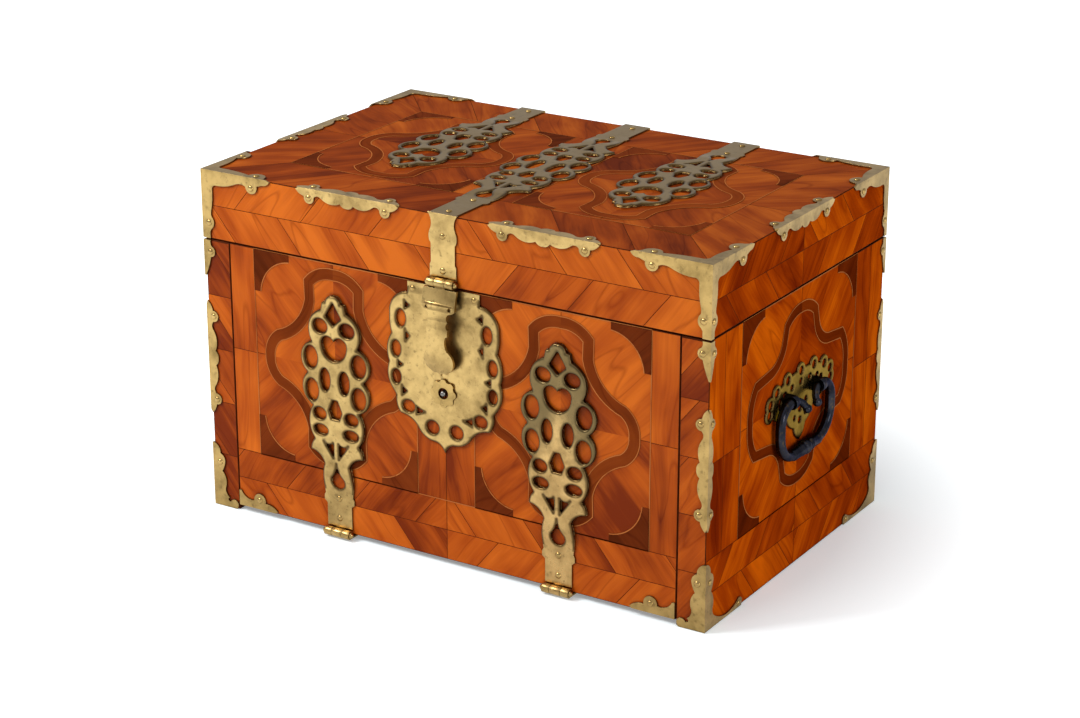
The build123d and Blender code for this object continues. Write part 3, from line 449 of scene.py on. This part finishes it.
def tall_quadrant(stretch=1.0):
    """Quarter of the upright lobed band round a strap."""
    points = path_points((0, 89), ((15, 86.8), (27, 78)), ((26.5, 61),), ((40, 35), (61, 22)),
                         ((69.5, 12.5), (72, 0)))
    return [(x, y * stretch) for x, y in points]


def wide_quadrant():
    """Quarter of the broad lobed band round a side handle."""
    return path_points((0, 79), ((15, 76.8), (27, 69.5)), ((30, 58),), ((38, 43), (56, 34.5)),
                       ((81, 31.5),), ((89, 18), (91, 0)))


# Veneer, in millimetres and degrees

# Gap left at the box's edges, and half the joint between two pieces
EDGE = 0.3
JOINT = 0.3

# Levels, each a step above the one below, and wood numbers
VENEER_STEP = 0.12
GROUND, INNER_FIELD, INLAY, STRING = 1, 2, 3, 4
MAIN_WOOD, BAND_WOOD, CORNER_WOOD, LINE_WOOD = range(4)

# How far the tone of a piece may lie from the middle
PIECE_TONES = 0.32
FEATHER_TONES = 0.3

# Grain of a field's quarters outside and inside its lobed band, and the slant of feathered pieces
OUTER_GRAIN = 47
INNER_GRAIN = 43
FEATHER_SLANT = 0.82

LINE_WIDTH = 0.9


class Skin:
    """Veneer on one face: flat pieces, each with its own grain direction and tone."""

    def __init__(self, name, origin, right, up, body):
        self.name = name
        self.body = body
        outward = Vector(right).cross(Vector(up))
        turn = Matrix((Vector(right), Vector(up), outward)).transposed().to_4x4()
        self.place = Matrix.Translation(Vector(origin) * MM) @ turn @ Matrix.Scale(MM, 4)
        self.bm = bmesh.new()
        self.uv = self.bm.loops.layers.uv.new("grain")
        self.tone = self.bm.faces.layers.float.new("tone")

    def face(self, points, level, wood_number):
        """Flat face on a level."""
        lift = level * VENEER_STEP
        corners = [self.bm.verts.new(self.place @ Vector((x, y, lift))) for x, y in points]
        made = self.bm.faces.new(corners)
        made.material_index = wood_number
        return made

    def piece(self, points, grain, level=GROUND, wood_number=MAIN_WOOD, tone=None):
        """Lay one flat piece; grain is its direction from the face's right."""
        if len(points) < 3:
            return
        if level == GROUND:
            points = shrunk(points, JOINT)
        face = self.face(points, level, wood_number)
        face[self.tone] = chance.uniform(-PIECE_TONES, PIECE_TONES) if tone is None else tone
        angle = math.radians(grain)
        shift = Vector((chance.uniform(0, 9), chance.uniform(0, 9)))
        for loop, (x, y) in zip(face.loops, points):
            along = x * math.cos(angle) + y * math.sin(angle)
            across = y * math.cos(angle) - x * math.sin(angle)
            loop[self.uv].uv = Vector((along, across)) * MM + shift

    def strip(self, first, second, level, wood_number):
        """Lay a closed strip between two matching outlines, its grain running along it."""
        total = len(first)
        travelled = 0.0
        shift = chance.uniform(0, 9)
        for index in range(total):
            following = (index + 1) % total
            length = (Vector(first[following]) - Vector(first[index])).length
            width = (Vector(second[index]) - Vector(first[index])).length
            points = [first[index], first[following], second[following], second[index]]
            places = rectangle((travelled, 0), (travelled + length, width))
            for loop, place in zip(self.face(points, level, wood_number).loops, places):
                loop[self.uv].uv = Vector(place) * MM + Vector((shift, shift))
            travelled += length

    def line(self, start, end, width=LINE_WIDTH, level=INLAY):
        """Lay a straight light line."""
        along = (Vector(end) - Vector(start)).normalized()
        side = Vector((-along.y, along.x)) * width / 2
        ends = [Vector(start) - side, Vector(end) - side, Vector(end) + side, Vector(start) + side]
        grain = math.degrees(math.atan2(along.y, along.x))
        self.piece([tuple(point) for point in ends], grain, level, LINE_WOOD, 0.0)

    def feather(self, low, high, pitch, lean, shift=0.0, lighter=0.0):
        """Fill a row with slanted pieces whose grain follows their slant; lean is +1 or -1."""
        height = high[1] - low[1]
        slant = lean * height * FEATHER_SLANT
        grain = math.degrees(math.atan2(height, slant))
        count = int((high[0] - low[0] + 2 * height) / pitch) + 3
        x = low[0] - height + shift - pitch
        for _ in range(count):
            points = [(x, low[1]), (x + pitch, low[1]), (x + pitch + slant, high[1]), (x + slant, high[1])]
            tone = lighter + chance.uniform(-FEATHER_TONES, FEATHER_TONES)
            self.piece(clipped(points, low, high), grain + chance.uniform(-3, 3), tone=tone)
            x += pitch

    def double_feather(self, low, high, pitch, shift=0.0, lighter=0.0):
        """Two feathered rows that point away from the middle on both halves."""
        middle = (low[1] + high[1]) / 2
        centre = (low[0] + high[0]) / 2
        self.feather((low[0], middle), (centre, high[1]), pitch, 1, shift, lighter)
        self.feather(low, (centre, middle), pitch, -1, shift, lighter)
        self.feather((centre, middle), high, pitch, -1, -shift, lighter)
        self.feather((centre, low[1]), (high[0], middle), pitch, 1, -shift, lighter)

    def field(self, low, high, quadrant, band_width):
        """Quartered field with a lobed dark band and dark hollow corners."""
        middle = ((low[0] + high[0]) / 2, (low[1] + high[1]) / 2)
        quarters = [(side, rise) for side in (-1, 1) for rise in (-1, 1)]
        for side, rise in quarters:
            corner = (low[0] if side < 0 else high[0], low[1] if rise < 0 else high[1])
            quarter = [middle, (corner[0], middle[1]), corner, (middle[0], corner[1])]
            self.piece(quarter, OUTER_GRAIN * side * rise)
            self.spandrel(corner, side, rise)
        for side, rise in quarters:
            part = quarter_of(quadrant, middle, side, rise)
            self.piece(part + [middle], -INNER_GRAIN * side * rise, INNER_FIELD)
        outline = lobed(quadrant, middle)
        half_band = band_width / 2
        half_line = LINE_WIDTH / 2
        self.strip(offset(outline, -half_band), offset(outline, half_band), INLAY, BAND_WOOD)
        for edge in (-half_band, half_band):
            inside = offset(outline, edge - half_line)
            outside = offset(outline, edge + half_line)
            self.strip(inside, outside, STRING, LINE_WOOD)
        corners = rectangle(low, high)
        for index in range(4):
            self.line(corners[index - 1], corners[index])

    def spandrel(self, corner, side, rise, reach=39, width=7, hollow=(18.1, 16.1)):
        """Dark hollow corner with a light line along its curve."""

        def at(u, v):
            return (corner[0] - side * u, corner[1] - rise * v)

        curve = path_points(at(reach, width), (at(*hollow), at(width, reach)), count=12)
        outline = [at(0, 0), at(reach, 0)] + curve + [at(0, reach)]
        self.piece(outline, OUTER_GRAIN * side * rise, INLAY, CORNER_WOOD)
        for first, second in zip(curve, curve[1:]):
            self.line(first, second, 1.0, STRING)

    def finish(self, woods):
        """Make the mesh object, facing outward, riding on its body."""
        outward = self.place.to_3x3() @ Vector((0, 0, 1))
        for face in self.bm.faces:
            face.normal_update()
            if face.normal.dot(outward) < 0:
                face.normal_flip()
        mesh = bpy.data.meshes.new(self.name)
        self.bm.to_mesh(mesh)
        self.bm.free()
        for material in woods:
            mesh.materials.append(material)
        made = added(self.name, mesh)
        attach(made, self.body)


def front_skins():
    """Veneer of the fall front, the case's front edges and the lid's front."""
    plane = ((0, -HALF_Y, 0), (1, 0, 0), (0, 0, 1))
    foot, centre, flank = 61.5, 30.0, 204.5
    board_joint = 160
    door_edge = DOOR_HALF - EDGE
    high = CASE_TOP - EDGE
    door = Skin("veneer_front", *plane, "fall_front")
    for side in (-1, 1):
        door.field(*mirrored(side, centre, flank, foot, high), tall_quadrant(), band_width=10.5)
        for bottom, top, tilt in ((foot, board_joint, 2), (board_joint, high, -2)):
            door.piece(rectangle(*mirrored(side, flank, door_edge, bottom, top)), 90 + tilt * side)
        door.piece(rectangle(*mirrored(side, 0, centre, foot, high)), 90 + 8 * side, tone=-0.35)
    door.double_feather((-door_edge, DOOR_BOTTOM + EDGE), (door_edge, foot), pitch=71, shift=12)
    door.line((-flank - 0.5, foot), (flank + 0.5, foot))
    door.finish(FRONT_WOODS)

    edge = HALF_X - EDGE
    row = 51.6
    posts = Skin("veneer_posts", *plane, "case")
    for side in (-1, 1):
        for index in range(5):
            bottom = EDGE + index * row
            corners = mirrored(side, POST_INNER + EDGE, edge, bottom, bottom + row)
            posts.feather(*corners, pitch=60, lean=side, shift=9 * index, lighter=-0.3)
    posts.finish(FRONT_WOODS)

    lid = Skin("veneer_lid_front", *plane, "lid")
    lid.double_feather((-edge, LID_BOTTOM + EDGE), (edge, TOP - EDGE), pitch=73, shift=-8, lighter=0.25)
    lid.finish(FRONT_WOODS)


def side_skins(side):
    """Veneer of one side of the case and lid."""
    name = "right" if side > 0 else "left"
    plane = ((side * HALF_X, 0, 0), (0, side, 0), (0, 0, 1))
    foot, flank, board_edge = 64, 108, 137
    board_joint = 150
    edge = HALF_Y - EDGE
    high = CASE_TOP - EDGE
    case = Skin(f"veneer_side_{name}", *plane, "case")
    case.field((-flank, foot), (flank, high), wide_quadrant(), band_width=9.5)
    for hand in (-1, 1):
        for near, far, tilt in ((flank, board_edge, 4), (board_edge, edge, -5)):
            for bottom, top in ((foot, board_joint), (board_joint, high)):
                case.piece(rectangle(*mirrored(hand, near, far, bottom, top)), 90 + tilt * hand)
    case.double_feather((-edge, EDGE), (edge, foot), pitch=68, shift=-14)
    case.line((-flank, foot), (flank, foot))
    case.finish(SIDE_WOODS)

    lid = Skin(f"veneer_lid_{name}", *plane, "lid")
    lid.double_feather((-edge, LID_BOTTOM + EDGE), (edge, TOP - EDGE), pitch=70, shift=11)
    lid.finish(SIDE_WOODS)


def top_skin():
    """Veneer of the lid's top."""
    centre, flank, rim = 31.0, 205.0, 103.5
    edge_x = HALF_X - EDGE
    edge_y = HALF_Y - EDGE
    # Inner and outer end of each slanted joint in the front and back borders
    joints = ((0, 0), (70, 118), (140, 188), (flank, edge_x))
    top = Skin("veneer_top", (0, 0, TOP), (1, 0, 0), (0, 1, 0), "lid")
    for side in (-1, 1):
        top.field(*mirrored(side, centre, flank, -rim, rim), tall_quadrant(1.045), band_width=10.5)
        top.piece(rectangle(*mirrored(side, 0, centre, -rim, rim)), 90 + 6 * side)
        for hand in (1, -1):
            corners = [(flank, 0), (flank, rim), (edge_x, edge_y), (edge_x, 0)]
            top.piece([(side * x, hand * y) for x, y in corners], 35 * side * hand)
        for hand in (-1, 1):
            for (near, near_out), (far, far_out) in zip(joints, joints[1:]):
                corners = [(near, rim), (far, rim), (far_out, edge_y), (near_out, edge_y)]
                top.piece([(side * x, hand * y) for x, y in corners], 52 * side * hand)
    top.finish(TOP_WOODS)


def back_skins():
    """Plain veneer of the backs."""
    plane = ((0, HALF_Y, 0), (-1, 0, 0), (0, 0, 1))
    edge = HALF_X - EDGE
    row = 64.5
    case = Skin("veneer_back", *plane, "case")
    for index in range(4):
        bottom = EDGE + index * row
        case.double_feather((-edge, bottom), (edge, bottom + row), pitch=88, shift=9 * index)
    case.finish(FRONT_WOODS)

    lid = Skin("veneer_lid_back", *plane, "lid")
    lid.double_feather((-edge, LID_BOTTOM + EDGE), (edge, TOP - EDGE), pitch=84, shift=5)
    lid.finish(FRONT_WOODS)


# CAD pieces

# Material, slot, width in millimetres and segments of the rounded edges, and the nodes that have them
DRESSING = (
    (BOARD, "veneer", 0.25, 2, ("case_side_left", "case_side_right", "case_back", "fall_front_panel",
                                "lid_top", "lid_rail_front", "lid_rail_back", "lid_rails_side")),
    (INNER, "inner_wood", 0.6, 2, ("case_floor", "well_floor", "well_front", "drawer_shelf",
                                   "drawer_dividers", "drawer_left", "drawer_middle", "drawer_right")),
    (IRON, "iron", 0.3, 2, ("lock_bolt", "lock_case")),
    (SHADED_MOUNT_BRASS, "brass", 0.35, 2, ("case_upper_mounts", "case_middle_mounts", "case_bottom_corners",
                                     "lid_corner_mounts", "front_corner_mounts")),
    (STRAP_BRASS, "brass", 0.35, 2, ("lid_strap_left", "lid_strap_centre", "lid_strap_right")),
    (BRASS, "brass", 0.35, 2, ("lid_edge_mounts", "front_strap_left", "lock_plate", "fall_hinge_leaves",
                               "lid_hinge_leaves")),
    (SHADED_SIDE_BRASS, "brass", 0.35, 2, ("handle_plate_left", "handle_plate_right")),
    (BRASS, "brass", 0.6, 3, ("hasp",)),
    (SHADED_STRAP_BRASS, "brass", 0.35, 2, ("front_strap_right",)),
    (SHADED_MOUNT_BRASS, "brass", 0.9, 4, ("keyhole_rosette",)),
    (NAIL_BRASS, "brass", 0.0, 0, ("case_nails", "lid_nails", "front_nails", "fall_hinge_pins",
                                   "lid_hinge_pins", "hasp_pin", "drawer_knob_left", "drawer_knob_middle",
                                   "drawer_knob_right")),
    (IRON, "iron", 0.0, 0, ("handle_left", "handle_right")),
    (IRON, "iron", 0.6, 3, ("handle_eyes_left", "handle_eyes_right")),
    (STEEL, "steel", 0.0, 0, ("drill_pin",)),
)


def dress(name, material, slot, width, segments):
    """Give a CAD node its material and rounded edges."""
    piece = nodes[name]
    piece.data.materials.clear()
    piece.data.materials.append(material)
    weld = piece.modifiers.new("weld", "WELD")
    weld.merge_threshold = WELD
    if width:
        bevel = piece.modifiers.new("bevel", "BEVEL")
        bevel.width = width * MM
        bevel.segments = segments
        bevel.limit_method = "ANGLE"
        bevel.angle_limit = math.radians(35)
        bevel.miter_outer = "MITER_ARC"
        bevel.harden_normals = True


def dress_all():
    """Materials for every CAD node."""
    for material, slot, width, segments, names in DRESSING:
        for name in names:
            dress(name, material, slot, width, segments)


def placed_mesh(name):
    """Mesh of a CAD node where it stands, its doubled points joined."""
    bm = bmesh.new()
    bm.from_mesh(nodes[name].data)
    bm.transform(nodes[name].matrix_world)
    bmesh.ops.remove_doubles(bm, verts=bm.verts, dist=WELD)
    return bm


# Chased brass

# Thickness of the slab that is remeshed, its voxels, and the depth of the relief's back, in metres
SLAB = 0.0014
VOXEL = 0.00075
BACK_DEPTH = 0.0003

# How deep the relief lies where it has faded out, and how far it stands up at its rim, in millimetres
SUNK = 0.06
RIM_RISE = 0.1

# Distance from a strap's middle at which its crown has run out, in millimetres
CROWN_HALF = 40

# Where the relief of the straps' heads has faded out, and over what length it does, in millimetres
FRONT_HEAD_END = 42
LID_HEAD_END = 121
CENTRE_HEAD_END = 112
HEAD_FADE = 24

# Height of the lock plate's middle, radius of the plain part round it, and height where the relief ends
LOCK_MIDDLE = 198
LOCK_PLAIN = 30
LOCK_END = 256


def ease(value):
    """Smooth step from 0 to 1."""
    value = min(1.0, max(0.0, value))
    return value * value * (3 - 2 * value)


def lock_fade(place):
    """Share of the lock plate's relief: none on its plain middle and at its upper edge."""
    from_middle = math.hypot(place.x * 0.9, place.z - LOCK_MIDDLE)
    return ease((from_middle - LOCK_PLAIN) / 14) * ease((LOCK_END - place.z) / 8)


def outer_face(name, normal, level):
    """Flat outer face of a CAD plate, which lies at a level along its normal."""
    bm = placed_mesh(name)
    bm.normal_update()
    away = []
    for face in bm.faces:
        height = face.calc_center_median().dot(normal) - level
        if face.normal.dot(normal) < 0.999 or abs(height) > 0.00005:
            away.append(face)
    bmesh.ops.delete(bm, geom=away, context="FACES")
    return bm


def rim_tree(bm):
    """Search tree of points along the open edges of a mesh."""
    points = []
    for edge in bm.edges:
        if len(edge.link_faces) != 1:
            continue
        first, second = (vert.co for vert in edge.verts)
        count = max(1, int((second - first).length / (0.4 * MM)))
        points += [first.lerp(second, index / count) for index in range(count)]
    tree = KDTree(len(points))
    for index, point in enumerate(points):
        tree.insert(point, index)
    tree.balance()
    return tree


def remeshed_slab(bm, normal):
    """Even mesh of a flat face that was given a thickness behind it."""
    raised = bmesh.ops.extrude_face_region(bm, geom=list(bm.faces))["geom"]
    lower = [item for item in raised if isinstance(item, bmesh.types.BMVert)]
    bmesh.ops.translate(bm, verts=lower, vec=normal * -SLAB)
    bmesh.ops.recalc_face_normals(bm, faces=bm.faces)
    slab = bpy.data.meshes.new("slab")
    bm.to_mesh(slab)
    bm.free()
    rough = added("slab", slab)
    remesh = rough.modifiers.new("remesh", "REMESH")
    remesh.mode = "VOXEL"
    remesh.voxel_size = VOXEL
    graph = bpy.context.evaluated_depsgraph_get()
    mesh = bpy.data.meshes.new_from_object(rough.evaluated_get(graph))
    bpy.data.objects.remove(rough)
    return mesh


def chased(name, outward, level, body, fade, rise, reach=2.8, crown=0.0, centre=0.0, material=BRASS):
    """Rounded relief over the flat outer face of a pierced plate.

    It rises over its reach from every rim, and by the crown more along the line at centre.
    Fade tells how much of it each place gets.
    """
    normal = Vector(outward)
    level *= MM
    bm = outer_face(name, normal, level)
    rim = rim_tree(bm)
    mesh = remeshed_slab(bm, normal)
    patina_and_shade = mesh.attributes.new("patina_and_shade", "FLOAT", "POINT")
    for vert in mesh.vertices:
        height = vert.co.dot(normal) - level
        if height < -2 * BACK_DEPTH:
            vert.co += normal * (-BACK_DEPTH - height)
            continue
        distance = rim.find(vert.co - normal * height)[2] / MM
        nearness = 1 - min(distance / reach, 1)
        # Nearness to a rim: patina, and painted shade at the openings' edges
        patina_and_shade.data[vert.index].value = nearness
        lift = rise * math.sqrt(1 - nearness * nearness)
        lift += crown * max(0.0, 1 - ((vert.co.x / MM - centre) / CROWN_HALF) ** 2)
        lift = (lift + RIM_RISE) * fade(vert.co / MM) - SUNK
        vert.co += normal * (lift * MM - height)
    mesh.shade_smooth()
    mesh.materials.clear()
    mesh.materials.append(material)
    made = added(f"chased_{name}", mesh)
    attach(made, body)


def all_chasing():
    """Relief of the strap heads, the lock plate and the handle plates."""
    top = TOP + SHEET_BRASS
    front = HALF_Y + SHEET_BRASS
    for name, x, material in (("left", -STRAP_X, BRASS), ("right", STRAP_X, SHADED_STRAP_BRASS)):
        chased(f"front_strap_{name}", (0, -1, 0), front, "fall_front",
               lambda place: ease((place.z - FRONT_HEAD_END) / HEAD_FADE),
               rise=1.5, crown=2.0, centre=x, material=material)
        chased(f"lid_strap_{name}", (0, 0, 1), top, "lid",
               lambda place: ease((LID_HEAD_END - place.y) / HEAD_FADE),
               rise=1.0, crown=0.4, centre=x, material=STRAP_BRASS)
    chased("lid_strap_centre", (0, 0, 1), top, "lid",
           lambda place: ease((CENTRE_HEAD_END - abs(place.y)) / HEAD_FADE),
           rise=1.0, crown=0.4, material=STRAP_BRASS)
    chased("lock_plate", (0, -1, 0), front, "fall_front", lock_fade, rise=1.2)
    for name, side in (("left", -1), ("right", 1)):
        chased(f"handle_plate_{name}", (side, 0, 0), HALF_X + SHEET_BRASS, "case", lambda place: 1.0,
               rise=0.7, reach=2.0, material=SHADED_SIDE_BRASS)


# Nails

def nail_template():
    """Smooth domed nail head of radius 1 with its flat back on the XY plane."""
    bm = bmesh.new()
    bmesh.ops.create_uvsphere(bm, u_segments=20, v_segments=12, radius=1)
    cut = bmesh.ops.bisect_plane(bm, geom=bm.verts[:] + bm.edges[:] + bm.faces[:], plane_co=(0, 0, 0),
                                 plane_no=(0, 0, 1), clear_inner=True)
    rim = [item for item in cut["geom_cut"] if isinstance(item, bmesh.types.BMEdge)]
    bmesh.ops.edgeloop_fill(bm, edges=rim)
    bmesh.ops.recalc_face_normals(bm, faces=bm.faces)
    mesh = bpy.data.meshes.new("nail")
    bm.to_mesh(mesh)
    bm.free()
    return mesh


def islands(bm):
    """Groups of connected vertices."""
    found = set()
    for start in bm.verts:
        if start in found:
            continue
        group = [start]
        found.add(start)
        for vert in group:
            for edge in vert.link_edges:
                other = edge.other_vert(vert)
                if other not in found:
                    found.add(other)
                    group.append(other)
        yield group


def nail_place(group):
    """Matrix that puts the template where one CAD nail stands, a little larger or smaller."""
    low = Vector([min(vert.co[axis] for vert in group) for axis in range(3)])
    high = Vector([max(vert.co[axis] for vert in group) for axis in range(3)])
    middle = (low + high) / 2
    size = high - low
    thin = min(range(3), key=lambda axis: size[axis])
    normal = Vector((0, 0, 0))
    normal[thin] = 1.0 if thin == 2 else math.copysign(1.0, middle[thin])
    radius = max(size) / 2 * chance.uniform(0.94, 1.02)
    turn = normal.to_track_quat("Z", "Y").to_matrix().to_4x4()
    place = Matrix.Translation(middle - normal * size[thin] / 2) @ turn
    return place @ Matrix.Diagonal((radius, radius, size[thin], 1))


def domed_nails(name, body, template):
    """Round nail heads in place of a node's faceted ones."""
    source = placed_mesh(name)
    bm = bmesh.new()
    for group in islands(source):
        before = len(bm.verts)
        bm.from_mesh(template)
        bm.verts.ensure_lookup_table()
        bmesh.ops.transform(bm, matrix=nail_place(group), verts=bm.verts[before:])
    source.free()
    mesh = bpy.data.meshes.new(f"round_{name}")
    bm.to_mesh(mesh)
    bm.free()
    for polygon in mesh.polygons:
        polygon.use_smooth = len(polygon.vertices) < 5
    mesh.materials.append(NAIL_BRASS)
    made = added(f"round_{name}", mesh)
    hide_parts(name)
    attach(made, body)


def all_nails():
    """Every nail of the case, the lid and the fall front."""
    template = nail_template()
    for name, body in (("case_nails", "case"), ("lid_nails", "lid"), ("front_nails", "fall_front")):
        domed_nails(name, body, template)


# Setting, in metres

FLOOR_HALF = 20
FLOOR_DROP = 0.0006

# Name, place, point aimed at, size and power of each square lamp
LAMPS = (
    ("key", (-1.36, -1.28, 1.7), (0, 0, 0.12), 1.0, 54),
    ("overhead", (0.4, -1.6, 4.4), (0, 0.2, 0), 4.0, 40),
    ("fill", (2.9, -0.8, 1.0), (0.2, 0, 0.15), 1.2, 28),
)

CAMERA_PLACE = (1.2142, -1.9561, 0.9941)
CAMERA_AZIMUTH = math.radians(31.95)
CAMERA_ELEVATION = math.radians(20.30)
CAMERA_LENS = 89.2


def floor_material():
    """White floor that glows to the camera, less so close to the box: a painted shadow round the box, over
    the shadow that it casts.
    """
    material, tree, shader = new_material("floor")
    shader.inputs["Base Color"].default_value = (0.79, 0.86, 0.88, 1)
    shader.inputs["Roughness"].default_value = 1.0
    shader.inputs["Specular IOR Level"].default_value = 0.0
    reach = tree.nodes.new("ShaderNodeVectorMath")
    reach.operation = "LENGTH"
    tree.links.new(coordinate(tree, "Object"), reach.inputs[0])
    # Painted shadow: the glow is weaker within about 0.46 m of the box's middle
    glow_with_painted_shadow = ramp(tree, reach.outputs["Value"], [(0.28, (0.28, 0.28, 0.28)), (0.46, (0.85, 0.85, 0.85))])
    shader.inputs["Emission Color"].default_value = (*WHITE, 1)
    tree.links.new(maths(tree, "MULTIPLY", direct_rays(tree), glow_with_painted_shadow), shader.inputs["Emission Strength"])
    return material


def floor():
    """Flat floor just below the box."""
    bm = bmesh.new()
    bmesh.ops.create_grid(bm, x_segments=1, y_segments=1, size=FLOOR_HALF)
    bmesh.ops.translate(bm, verts=bm.verts, vec=(0, 0, -FLOOR_DROP))
    mesh = bpy.data.meshes.new("floor")
    bm.to_mesh(mesh)
    bm.free()
    mesh.materials.append(floor_material())
    added("floor", mesh)


def room():
    """Dim room that looks brighter than it lights."""
    world = bpy.data.worlds.new("room")
    bpy.context.scene.world = world
    world.use_nodes = True
    tree = world.node_tree
    background = tree.nodes["Background"]
    background.inputs["Color"].default_value = (0.97, 0.98, 1.0, 1)
    strength = maths(tree, "ADD", maths(tree, "MULTIPLY", direct_rays(tree), 0.40), 0.27)
    tree.links.new(strength, background.inputs["Strength"])


def aim(made, place, direction):
    """Stand a lamp or camera at a place and turn it to a direction."""
    made.location = place
    made.rotation_euler = direction.to_track_quat("-Z", "Y").to_euler()


def lamps():
    """Soft square lamps."""
    for name, place, target, size, power in LAMPS:
        light = bpy.data.lights.new(name, "AREA")
        light.size = size
        light.energy = power
        aim(added(name, light), place, Vector(target) - Vector(place))


def camera():
    """Camera at the photograph's angle."""
    data = bpy.data.cameras.new("camera")
    data.sensor_width = 36
    data.lens = CAMERA_LENS
    data.clip_end = 60
    level = math.cos(CAMERA_ELEVATION)
    ahead_x = -math.sin(CAMERA_AZIMUTH) * level
    ahead_y = math.cos(CAMERA_AZIMUTH) * level
    made = added("camera", data)
    aim(made, CAMERA_PLACE, Vector((ahead_x, ahead_y, -math.sin(CAMERA_ELEVATION))))
    bpy.context.scene.camera = made


dress_all()
all_chasing()
all_nails()
front_skins()
side_skins(1)
side_skins(-1)
top_skin()
back_skins()
floor()
room()
lamps()
camera()
bpy.context.scene.view_settings.view_transform = "Standard"
